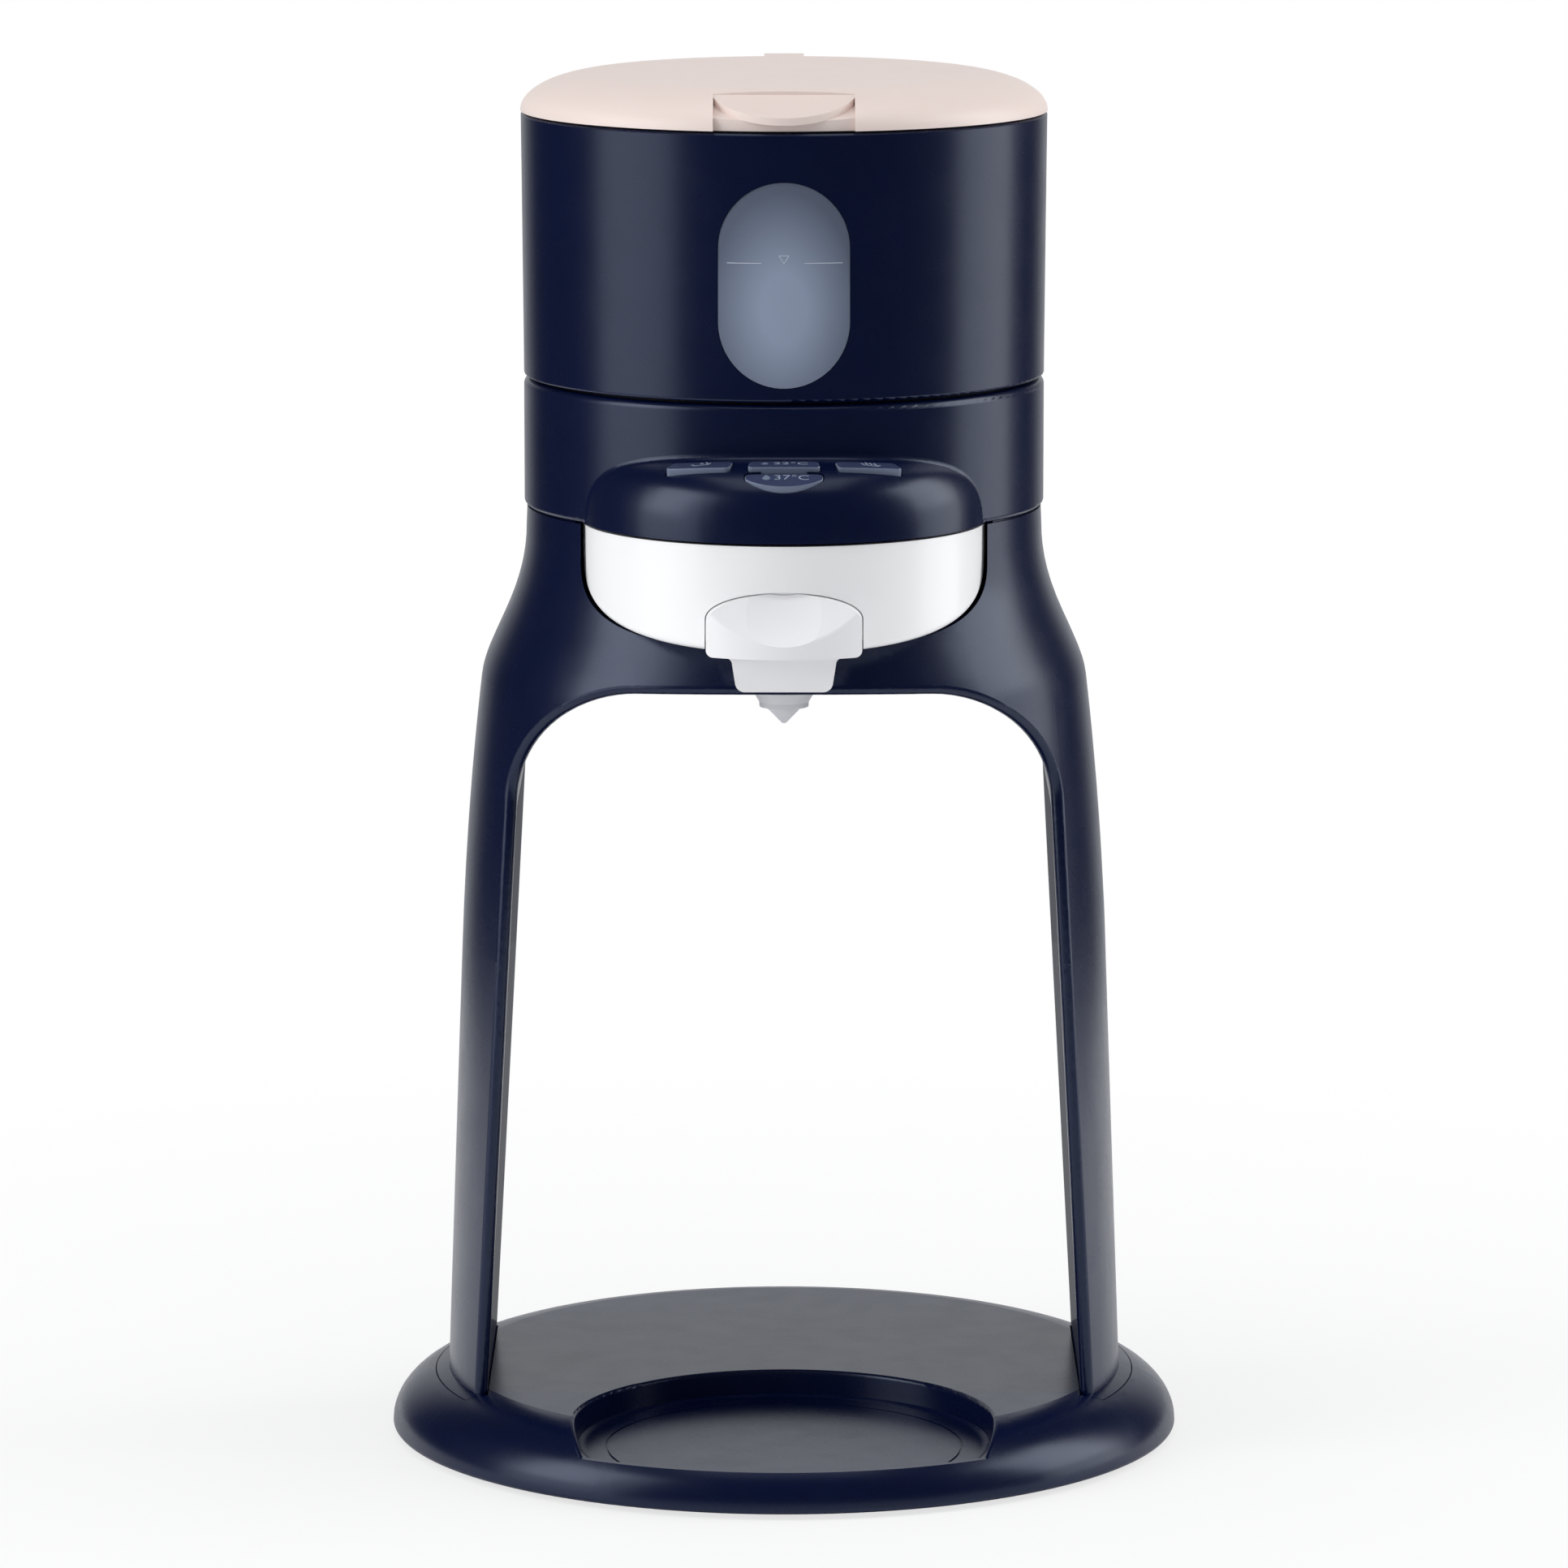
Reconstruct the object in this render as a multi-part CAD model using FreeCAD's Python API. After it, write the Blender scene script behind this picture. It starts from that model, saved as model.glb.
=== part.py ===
"""Countertop baby formula maker.

A round base carries two legs, moulded in one with the yoke that joins them at the top.
The yoke holds a powder drawer, the head above it holds the heater, pump, controls and
hood, and a lift-off water tank with a hinged lid stands on the head.

Frame: +X right, +Y back, +Z up, in millimetres. The origin is under the middle of the
base, on the surface that the rubber feet stand on.
"""
import FreeCAD, Part
import math
import os

# ---- driving sizes ----------------------------------------------------------------
BASE_R = 92.7            # widest radius of the base's rim
RING_R = 60.5            # outer radius of the head and of the tank's foot
DRAWER_R = 46.4          # plan radius of the powder bowl; the hood over it follows

# ---- base -------------------------------------------------------------------------
BASE_FOOT_R = BASE_R - 2.5         # radius of the rim's bottom edge
BASE_PLATE_R = BASE_R - 17.2       # edge of the flat top plate
BASE_PLATE_Z = 15.7      # height of the flat top plate
BASE_WIDEST_Z = 2.2      # height at which the rim is widest
RIM_CREASE = 1.7         # how far inside the plate's edge the rim's ellipse is centred
BASE_WALL = 2.4          # wall of the base moulding
FOOT_PROUD = 1.0         # how far the rubber feet hold the base off the table
FOOT_PAD_R = 7.0         # radius of a rubber foot
FOOT_PAD_SINK = 0.8      # depth of the pocket that holds a rubber foot
COVER_R = BASE_R - 4.7             # radius of the bottom cover
FOOT_CIRCLE_R = COVER_R - 12.0     # circle that the rubber feet stand on
COVER_T = 1.9            # thickness of the bottom cover
POCKET_R = 48.2          # radius of the bottle pocket
POCKET_Y = 32.7 - BASE_R # centre of the bottle pocket
POCKET_FLOOR_Z = 9.5     # floor of the bottle pocket
POCKET_LIP = 0.7         # height of the lip at the front of the pocket
POCKET_LIP_R = BASE_R - 5.3        # inner radius of that lip
POCKET_FILLET = 2.6      # fillet round the pocket's floor
POCKET_EDGE_R = 0.9      # rounding of the pocket's mouth
POCKET_MARK_R = 41.0     # fine groove in its floor that shows where the bottle stands
COVER_SCREW_R = COVER_R - 22.0     # circle of the cover's screws
COVER_SCREW_ANGLES = (22, 90, 158, 219, 321)

# ---- legs and yoke ----------------------------------------------------------------
LEG_SEAT_Z = 10.5        # bottom of a leg's foot, sunk into the base
LEG_FOOT_R = BASE_R - 13.1         # outer radius of the legs at the base
KNEE_R, KNEE_Z = LEG_FOOT_R - 4.0, 118.0     # where the legs start to lean inwards
HIP_R, HIP_Z = KNEE_R - 4.9, 180.5           # shoulder under the flare
HIP_LEAN = 0.12          # inward lean of the surface at the hip, mm per mm
NECK_R, NECK_Z = RING_R - 0.4, 216.0         # top of the flare
YOKE_TOP_R, YOKE_TOP_Z = RING_R - 0.6, 220.6
FRAME_WALL = 2.5         # wall of the leg moulding
ARCH_TOP_Z = 185.6       # crown of the arch between the legs
ARCH_CROWN = 1.0         # rise of the crown over its shoulders
ARCH_CORNER_R = 30.5     # radius of the arch's corners
ARCH_HALF_W = LEG_FOOT_R - 17.94   # half width of the arch where its corners end
ARCH_SPLAY = 0.055       # how far the legs' inner faces spread, mm per mm downwards
ARCH_EDGE_R = 1.6        # rounding of the arch's edges
FLANGE_R = LEG_FOOT_R + 2.8        # outer radius of the legs' foot flanges
FLANGE_HALF_D = 35.5     # half depth, front to back, of a foot flange
FLANGE_GAP = 0.25        # seam round a foot flange
LINER_T = 1.8            # thickness of the glossy leg liners
LINER_HALF_D = 30.0      # half depth of a liner
LINER_TOP_Z = 154.0      # top of a liner
LINER_GAP = 0.15         # gap round a liner
LEG_SCREW_Y = 17.0       # leg screws, each side of the middle

# ---- head housing, hood and controls ----------------------------------------------
RING_Z0, RING_Z1 = 221.0, 250.6    # lower and upper edge of the head's ring
RING_WALL = 2.5
RING_EDGE_R = 1.2        # rounding of the ring's lower edge
RING_LIP_R = 1.7         # rounding of its upper edge, under the tank
HOOD_Y = 32.3 - RING_R   # the hood and the drawer are round about this point
HOOD_FLAT_R = 25.0       # radius at which the hood starts to fall
HOOD_FALL_R = DRAWER_R + 0.5 - HOOD_FLAT_R   # width over which it falls
HOOD_RISE = 17.5         # how far it falls there
HOOD_FULL = 0.75         # how square its shoulder is, 0.55 being an ellipse
HOOD_BASE_Z = 221.3      # height at which its shoulder ends
HOOD_WALL = 2.2
HOOD_CREASE_R = 1.5      # fillet where the hood meets the ring
PANEL_TILT = 24.0        # degrees, slope of the button panel
PANEL_Y, PANEL_Z = -RING_R - 5.5, 237.0      # a point of the button panel
CAP_DOME_R = 178.0       # all caps are crowned to a sphere of this radius
CAP_REAR_Y, CAP_REAR_Z = 19.8 - RING_R, 239.74     # its top over the rear caps
CAP_FRONT_Y, CAP_FRONT_Z = 57.5 - RING_R, 248.3    # and over the front cap, which slopes more
CAP_ROOT = 1.3           # how far the caps reach in under the hood's surface
CAP_EDGE_R = 0.3         # rounding of their upper edges
BUTTON_GAP = 0.25        # gap round a button
BUTTON_TRAVEL = 1.0      # how far a button goes down
BUTTON_BAND_R0, BUTTON_BAND_R1 = RING_R + 2.0, RING_R + 7.2   # band of the rear buttons
BUTTON_SIDE_A0, BUTTON_SIDE_A1 = 10.5, 23.4   # side buttons, degrees off the middle
BUTTON_MID_A = 7.0       # half angle of the middle rear button
BUTTON_FRONT_R = BUTTON_BAND_R1 + 0.3        # rear edge of the front button
BUTTON_FRONT_HALF_W = 8.8
BUTTON_FRONT_SIDE = 2.6  # length of its straight sides
BUTTON_FRONT_NOSE = 6.6  # how far its curved front edge reaches forwards
BUTTON_CORNER_R = 1.1
STEM_R = 1.5             # stem under each button
STEM_GAP = 0.2           # gap round a stem in the button guide
GUIDE_DEPTH, GUIDE_T = 5.9, 1.0    # button guide, below the panel point
BOARD_DEPTH, BOARD_T = 9.4, 1.6    # control board, below the panel point
GUIDE_HALF_W, BOARD_HALF_W = 22.5, 28.0
BOARD_POST_X = 22.0      # posts under the board, each side of the middle
SWITCH_GAP = 0.05        # what is left over a switch when its button is down

# ---- chassis and deck -------------------------------------------------------------
CHASSIS_Z, CHASSIS_T = 221.6, 2.2
CHASSIS_GAP = 0.2        # gap between the chassis and the ring
SPIGOT_T = 2.3           # wall of the spigot that centres the head in the yoke
SPIGOT_Z = 215.5         # lower end of that spigot
SPIGOT_GAP = 0.2
DECK_Z, DECK_T = 246.6, 2.4
DECK_LEDGE_T = 1.2       # ledge inside the ring under the deck
DECK_LEDGE_W = 2.2
PLATEAU_R0, PLATEAU_R1 = RING_R - 11.3, RING_R - 4.5   # raised ring that the tank rests on
DECK_BOSS_H = 1.8        # centring boss over the plateau
SPRAY_Y = HOOD_Y - 7.8   # the mixing spray is over the bowl
SPRAY_R = 4.0
PUMP_R, PUMP_L = 8.5, 30.0
PUMP_X, PUMP_Y = -28.0, -2.0
PORT_X = 3.5             # the pump's ports are this far off its axis
HEATER_R, HEATER_L = 9.5, 42.0
HEATER_X = 26.0
HOSE_R = 2.3

# ---- water tank -------------------------------------------------------------------
TANK_Z0, TANK_Z1 = 251.2, 312.0
TANK_R0, TANK_R1 = RING_R, RING_R + 0.5      # outer radius at the bottom and at the top
TANK_WALL = 2.0
TANK_EDGE_R = 0.8        # rounding of the tank's lower edge
TANK_FLANGE_R = PLATEAU_R0 + 0.8   # inner radius of the tank shell's bottom flange
TANK_FLANGE_T = 2.0
RESERVOIR_GAP = 0.3      # between the reservoir and the shell
RESERVOIR_WALL = 1.8
RESERVOIR_TOP_Z = 311.0
WINDOW_HALF_W = 15.0     # half width of the level window
WINDOW_Z0, WINDOW_Z1 = 254.4, 301.2
WINDOW_GAP = 0.12        # gap round the window's pane
VALVE_Y = 24.0           # the tank valve is this far behind the middle
VALVE_BORE_R = 5.0
VALVE_NECK_R = 8.0
VALVE_NECK_Z = 244.5     # lower end of the neck
VALVE_OPEN = 3.0         # how far the poppet is pushed up when the tank is seated
POPPET_R = 7.0
POPPET_T = 1.5
STEM_VALVE_R = 1.4       # radius of the poppet's stem
VALVE_RUN = 0.08         # running clearance of that stem
SPIDER_Z, SPIDER_T = 249.5, 1.5
CLIP_R, CLIP_T = 3.2, 0.8
CLIP_Z = 246.2           # lower end of the poppet's stem, with its clip

# ---- inlet socket -----------------------------------------------------------------
SOCKET_R = 11.0
SOCKET_GAP = 0.5         # between the neck and the socket's bore
SOCKET_Z0, SOCKET_Z1 = 240.0, 252.4
SOCKET_FLOOR_T = 2.0
SOCKET_FLANGE_R = 14.0
PIN_R = 1.2              # pin that lifts the poppet
PIN_GAP = 0.1
SEAL_Z0, SEAL_T = 247.0, 2.0
SEAL_DEPTH = 1.1         # depth of the seal's groove
SEAL_RUN = 0.05          # clearance between the seal and the neck

# ---- lid --------------------------------------------------------------------------
LID_R = TANK_R1 + 0.1    # widest radius of the lid
LID_FLAT_R = 41.0        # radius at which its shoulder starts
LID_CROWN = 0.7          # rise of its top over that
LID_TOP_Z = 322.1
LID_Z0 = 312.5           # lower edge of the lid
LID_T = 2.2
LID_SKIRT_Z = 306.0
LID_SKIRT_T = 1.6
LID_NOTCH_HALF_W = 16.0  # notch at the front, with the thumb tongue over it
LID_NOTCH_R = LID_R - 1.6          # how deep it reaches under the tongue
TONGUE_R = 17.0          # plan radius of the thumb tongue
TONGUE_Y = 16.5 - LID_R  # centre of that radius
TONGUE_BACK_Y, TONGUE_BACK_Z = 12.1 - LID_R, 319.9
TONGUE_DROP = 0.335      # slope of the tongue, mm per mm
TONGUE_T = 1.7
DISH_R = 60.0            # radius of the shallow thumb dish
DISH_DEPTH = 0.45
HINGE_Y, HINGE_Z = TANK_R1 - 1.4, 315.6
HINGE_PIN_R = 1.2
HINGE_RUN = 0.06         # running clearance of the hinge pin
KNUCKLE_R = 3.0
KNUCKLE_HALF_W = 4.7     # half width of the lid's knuckle
ARM_DROP = 1.3           # top of the knuckle's arm, below the lid's top
EAR_W = 4.5              # width of each ear on the tank
EAR_GAP = 0.4
GASKET_GAP = 0.1         # between the lid's gasket and the reservoir's rim

# ---- powder drawer ----------------------------------------------------------------
DRAWER_TOP_Z = 220.4
DRAWER_SIDE_Z = 212.0    # where its sides start to round under
DRAWER_LOW_HALF_W = DRAWER_R - 0.5     # half width there
DRAWER_SIDE_FULL = 0.74  # how square its lower corners are, measured down the side
DRAWER_KEEL_FULL = 0.80  # and measured along the keel
DRAWER_KEEL_Z = 196.0    # lowest line of its underside
DRAWER_WALL = 2.0
DRAWER_FLOOR_Z = 200.2   # floor inside the bowl, at the middle
DRAWER_EDGE_R = 1.5      # rounding of its lower edge
DOOR_SIDE_GAP = 0.5      # doorway round the drawer
DOOR_CORNER_GAP = 0.7
DOOR_CORNER_DROP = 0.7
DOOR_BOTTOM_GAP = 0.9
NOZZLE_Y = HOOD_Y - 19.8 # axis of the outlet and its silicone nozzle
OUTLET_R = 6.0
CARRIER_HALF_W = 17.6    # spout carrier under the bowl
CARRIER_GAP = 0.3
CARRIER_T = 2.3          # its thickness over the keel line
CARRIER_BACK_Y = NOZZLE_Y + 10.0
TAB_TOP_Z = 209.7
TAB_SIDE_Z = 203.5       # where the tab's sides meet its rounded top
TAB_BOTTOM_Z = 195.6
TAB_FRONT_Y = HOOD_Y - 52.8        # foremost point of the tab
TAB_SIDE_Y = TAB_FRONT_Y + 5.0     # front of the tab at its sides
TAB_LIP_Z = 199.0        # height of the tab's lip at the front
TAB_SINK = 0.9           # how deep the tab sits in the bowl's front
TAB_EDGE_R = 1.2         # rounding of its front edge
TAB_CORNER_R = 1.5       # rounding of its lower corners
TAB_DISH_R, TAB_DISH_DEPTH = 60.0, 0.6    # shallow thumb dish in its top
APRON_TOP_HALF_W, APRON_FOOT_HALF_W = 11.7, 10.7
APRON_Z = 187.8
APRON_Y0, APRON_Y1 = TAB_FRONT_Y + 3.6, TAB_FRONT_Y + 10.4
APRON_CORNER_R = 2.2
APRON_FLARE_R = 1.5      # hollow rounding where it meets the tab

# ---- nozzle, runners, entry and inner parts ---------------------------------------
NOZZLE_HOLE_R = 7.2
NOZZLE_CUP_R = 9.4
NOZZLE_CUP_Z = 195.2
NOZZLE_TIP_Z = 176.2
NOZZLE_WALL = 1.5
RUNNER_X, RUNNER_T = ARCH_HALF_W - ARCH_CORNER_R - 7.16, 3.0
RUNNER_Y0, RUNNER_Y1 = NOZZLE_Y - 10.0, HOOD_Y + 40.2
RUN_GAP = 0.3            # sliding gap between moving and fixed pieces
ENTRY_Z = 203.0          # height of the mains cable entry at the back
ENTRY_BORE_R = 3.25
ENTRY_WALL = 2.75
ENTRY_LENGTH = 10.6
SCREW_R, SCREW_HEAD_R, SCREW_HEAD_H = 1.45, 2.7, 1.6
SCREW_GAP = 0.15
DECK_SCREW_R = PLATEAU_R0 - 5.2    # circle of the deck's screws

# ---- worked out from the above ----------------------------------------------------
RIM_R0 = BASE_PLATE_R - RIM_CREASE
RIM_A = BASE_R - RIM_R0
RIM_B = (BASE_PLATE_Z - BASE_WIDEST_Z) / math.sqrt(1 - (RIM_CREASE / RIM_A) ** 2)
COVER_TOP_Z = FOOT_PROUD + COVER_T
RING_IN_R = RING_R - RING_WALL
SPIGOT_R = YOKE_TOP_R - FRAME_WALL - SPIGOT_GAP
DECK_TOP_Z = DECK_Z + DECK_T
RESERVOIR_R = TANK_R0 - TANK_WALL - RESERVOIR_GAP
LID_SKIRT_R = RESERVOIR_R - RESERVOIR_WALL - 1.8   # skirt of the lid, inside the reservoir
RESERVOIR_Z0 = TANK_Z0 + TANK_FLANGE_T
RESERVOIR_FLOOR_Z = RESERVOIR_Z0 + RESERVOIR_WALL
SOCKET_BORE_R = VALVE_NECK_R + SOCKET_GAP
LID_A = LID_R - LID_FLAT_R
LID_B = LID_TOP_Z - LID_CROWN - LID_Z0
TILT = math.radians(PANEL_TILT)
PANEL_POINT = FreeCAD.Vector(0, PANEL_Y, PANEL_Z)
PANEL_NORMAL = FreeCAD.Vector(0, -math.sin(TILT), math.cos(TILT))
BIG = 400.0              # larger than the machine, for cutting tools
V = FreeCAD.Vector


# ---- drawing helpers --------------------------------------------------------------
class Outline:
    """A closed outline in the XZ plane, drawn edge by edge from a first point."""

    def __init__(self, x, z):
        self.start = self.at = V(x, 0, z)
        self.edges = []

    def line(self, x, z):
        end = V(x, 0, z)
        if (end - self.at).Length > 1e-7:
            self.edges.append(Part.LineSegment(self.at, end).toShape())
        self.at = end
        return self

    def arc(self, x_mid, z_mid, x, z):
        end = V(x, 0, z)
        self.edges.append(Part.Arc(self.at, V(x_mid, 0, z_mid), end).toShape())
        self.at = end
        return self

    def bezier(self, *poles):
        curve = Part.BezierCurve()
        curve.setPoles([self.at] + [V(x, 0, z) for x, z in poles])
        self.edges.append(curve.toShape())
        self.at = V(poles[-1][0], 0, poles[-1][1])
        return self

    def ellipse(self, x0, z0, a, b, angle_from, angle_to):
        """Part of an ellipse about (x0, z0), between two parameter angles in radians."""
        whole = Part.Ellipse(V(x0 + a, 0, z0), V(x0, 0, z0 + b), V(x0, 0, z0))
        low, high = sorted((angle_from, angle_to))
        edge = Part.ArcOfEllipse(whole, low, high).toShape()
        self.line(x0 + a * math.cos(angle_from), z0 + b * math.sin(angle_from))
        self.edges.append(edge)
        self.at = V(x0 + a * math.cos(angle_to), 0, z0 + b * math.sin(angle_to))
        return self

    def face(self):
        self.line(self.start.x, self.start.z)
        return Part.Face(Part.Wire(Part.__sortEdges__(self.edges)))

    def spin(self, x=0.0, y=0.0):
        """The solid that the outline sweeps about an upright axis through (x, y)."""
        solid = self.face().revolve(V(0, 0, 0), V(0, 0, 1), 360)
        solid.translate(V(x, y, 0))
        return solid

    def along_y(self, y0, y1):
        """The solid that the outline sweeps from y0 to y1."""
        face = self.face()
        face.translate(V(0, y0, 0))
        return face.extrude(V(0, y1 - y0, 0))


def cyl(r, z0, z1, x=0.0, y=0.0):
    return Part.makeCylinder(r, z1 - z0, V(x, y, z0))


def tube(r_out, r_in, z0, z1, x=0.0, y=0.0):
    return cyl(r_out, z0, z1, x, y).cut(cyl(r_in, z0 - 1, z1 + 1, x, y))


def box(x0, x1, y0, y1, z0, z1):
    return Part.makeBox(x1 - x0, y1 - y0, z1 - z0, V(x0, y0, z0))


def rod(start, end, r):
    """A round bar from one point to another."""
    return Part.makeCylinder(r, (end - start).Length, start, end - start)


def join(*solids):
    """One solid from touching or overlapping ones."""
    return solids[0].fuse(list(solids[1:])).removeSplitter()


def mirror_x(shape):
    return shape.mirror(V(0, 0, 0), V(1, 0, 0))


def round_edges(shape, radius, wanted):
    """Round those edges of a shape for which wanted(edge) is true."""
    edges = [edge for edge in shape.Edges if wanted(edge)]
    return shape.makeFillet(radius, edges) if edges else shape


def middle(edge):
    return edge.valueAt((edge.FirstParameter + edge.LastParameter) / 2)


def polar(r, degrees):
    return r * math.cos(math.radians(degrees)), r * math.sin(math.radians(degrees))


def save(name, shape):
    """Write one node, with each of its solids checked."""
    for solid in shape.Solids:
        assert solid.isValid() and solid.Volume > 0, name
    shape.exportStep("parts/%s.step" % name)
    print("%-20s %2d solid(s) %10.1f mm3" % (name, len(shape.Solids), shape.Volume))


# ---- outlines that several pieces share -------------------------------------------
def base_solid():
    """The base's outer form, filled: flat plate, elliptical rim and rolled foot."""
    outline = Outline(0, FOOT_PROUD).line(BASE_FOOT_R, FOOT_PROUD)
    outline.bezier((BASE_R, FOOT_PROUD), (BASE_R, BASE_WIDEST_Z))
    crease = math.acos(RIM_CREASE / RIM_A)
    outline.ellipse(RIM_R0, BASE_WIDEST_Z, RIM_A, RIM_B, 0, crease)
    return outline.line(0, BASE_PLATE_Z).spin()


def base_hollow():
    """The space under the base's plate and rim, one wall inside its outer form."""
    a, b = RIM_A - BASE_WALL, RIM_B - BASE_WALL
    low = math.asin((COVER_TOP_Z - BASE_WIDEST_Z) / b)
    high = math.asin((BASE_PLATE_Z - BASE_WALL - BASE_WIDEST_Z) / b)
    outline = Outline(0, COVER_TOP_Z)
    outline.ellipse(RIM_R0, BASE_WIDEST_Z, a, b, low, high)
    outline.line(0, BASE_PLATE_Z - BASE_WALL)
    return outline.spin()


def frame_solid(inset, z0, z1):
    """The legs' and yoke's outer surface of revolution, moved inwards by inset."""
    lean = (KNEE_Z - LEG_SEAT_Z) / (LEG_FOOT_R - KNEE_R)
    corner_z = (HIP_R + HIP_LEAN * HIP_Z - KNEE_R - KNEE_Z / lean) / (HIP_LEAN - 1 / lean)
    corner_r = KNEE_R - (corner_z - KNEE_Z) / lean
    reach = (NECK_Z - HIP_Z) * 0.27
    outline = Outline(0, LEG_SEAT_Z).line(LEG_FOOT_R - inset, LEG_SEAT_Z)
    outline.line(KNEE_R - inset, KNEE_Z)
    outline.bezier((corner_r - inset, corner_z), (HIP_R - inset, HIP_Z))
    outline.bezier((HIP_R - HIP_LEAN * reach - inset, HIP_Z + reach),
                   (NECK_R - inset, NECK_Z - 1.7 * reach), (NECK_R - inset, NECK_Z))
    outline.line(YOKE_TOP_R - inset, YOKE_TOP_Z).line(0, YOKE_TOP_Z)
    whole = outline.spin()
    return whole.common(cyl(BIG, z0, z1))


def arch_x(z, offset=0.0):
    """Half width between the legs' inner faces at a height below the corners."""
    corner_z = ARCH_TOP_Z - ARCH_CROWN - ARCH_CORNER_R
    return ARCH_HALF_W + ARCH_SPLAY * (corner_z - z) + offset


def arch_solid(offset, z0=-10.0):
    """The space between the legs, as a tool that runs right through front to back."""
    r = ARCH_CORNER_R + offset
    x0 = ARCH_HALF_W - ARCH_CORNER_R
    z_corner = ARCH_TOP_Z - ARCH_CROWN - ARCH_CORNER_R
    lean = math.atan(ARCH_SPLAY)
    flat = math.atan(2 * ARCH_CROWN / x0)
    outline = Outline(-arch_x(z0, offset), z0).line(arch_x(z0, offset), z0)
    outline.line(x0 + r * math.cos(lean), z_corner + r * math.sin(lean))
    mid = math.radians(45)
    end_x, end_z = x0 + r * math.sin(flat), z_corner + r * math.cos(flat)
    outline.arc(x0 + r * math.cos(mid), z_corner + r * math.sin(mid), end_x, end_z)
    outline.arc(0, ARCH_TOP_Z + offset, -end_x, end_z)
    outline.arc(-x0 - r * math.cos(mid), z_corner + r * math.sin(mid),
                -x0 - r * math.cos(lean), z_corner + r * math.sin(lean))
    return outline.along_y(-BIG, BIG)


def drawer_outline(grow, drop, keel_z, top):
    """The drawer's outline seen from the front: grown, with its corners dropped, to a keel."""
    x_top = DRAWER_R + DOOR_SIDE_GAP + min(grow, 0)
    x_side, z_side = DRAWER_LOW_HALF_W + grow, DRAWER_SIDE_Z - drop
    z_handle = z_side - DRAWER_SIDE_FULL * (z_side - keel_z)
    x_handle = DRAWER_KEEL_FULL * x_side
    outline = Outline(-x_top, top).line(x_top, top).line(x_side, z_side)
    outline.bezier((x_side, z_handle), (x_handle, keel_z), (0, keel_z))
    outline.bezier((-x_handle, keel_z), (-x_side, z_handle), (-x_side, z_side))
    return outline


def hood_solid(offset, z0):
    """The hood's domed form about its own upright axis, grown by offset."""
    a, b = HOOD_FALL_R + offset, HOOD_RISE + offset
    r, z = HOOD_FLAT_R, HOOD_BASE_Z
    outline = Outline(0, z0).line(r + a, z0).line(r + a, z)
    outline.bezier((r + a, z + HOOD_FULL * b), (r + HOOD_FULL * a, z + b), (r, z + b))
    return outline.line(0, z + b).spin(0, HOOD_Y)


def lid_solid(inset):
    """The lid's domed form, moved inwards by inset."""
    a, b = LID_A - inset, LID_B - inset
    crown_r = (LID_FLAT_R ** 2 + LID_CROWN ** 2) / (2 * LID_CROWN)
    mid_x, z_top = LID_FLAT_R / 2, LID_Z0 + b + LID_CROWN
    mid_z = z_top - crown_r + math.sqrt(crown_r ** 2 - mid_x ** 2)
    outline = Outline(0, LID_Z0).line(LID_FLAT_R + a, LID_Z0)
    outline.ellipse(LID_FLAT_R, LID_Z0, a, b, 0, math.pi / 2)
    return outline.arc(mid_x, mid_z, 0, z_top).spin()


def leg_block(r_out, x_in, half_d, z0, z1):
    """The D-shaped block of the right leg's foot."""
    return cyl(r_out, z0, z1).common(box(x_in, BIG, -half_d, half_d, z0, z1))


def window_solid(grow, y_back):
    """The obround level window, as a bar that points out of the tank's front."""
    half = WINDOW_HALF_W + grow
    z0, z1 = WINDOW_Z0 + WINDOW_HALF_W, WINDOW_Z1 - WINDOW_HALF_W
    outline = Outline(half, z0).line(half, z1).arc(0, z1 + half, -half, z1)
    outline.line(-half, z0).arc(0, z0 - half, half, z0)
    return outline.along_y(-BIG, y_back)


def screw(x, y, z_under_head, length, up=1):
    """A pan-head screw; its shank runs up from under the head, or down if up is -1."""
    ends = sorted((z_under_head, z_under_head + up * length))
    head = sorted((z_under_head, z_under_head - up * SCREW_HEAD_H))
    recess = sorted((z_under_head - up * SCREW_HEAD_H, z_under_head - up * SCREW_HEAD_H / 2))
    shank = cyl(SCREW_R, ends[0], ends[1], x, y)
    return join(shank, cyl(SCREW_HEAD_R, head[0], head[1], x, y)).cut(
        box(x - 1.6, x + 1.6, y - 0.35, y + 0.35, recess[0], recess[1]))


# ---- base -------------------------------------------------------------------------
def foot_places():
    return [polar(FOOT_CIRCLE_R, angle) for angle in (45, 135, 225, 315)]


def cover_screw_places():
    return [polar(COVER_SCREW_R, angle) for angle in COVER_SCREW_ANGLES]


def leg_screw_places():
    x = (arch_x(LEG_SEAT_Z) + LEG_FOOT_R) / 2
    return [(side * x, y) for side in (-1, 1) for y in (-LEG_SCREW_Y, LEG_SCREW_Y)]


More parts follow.
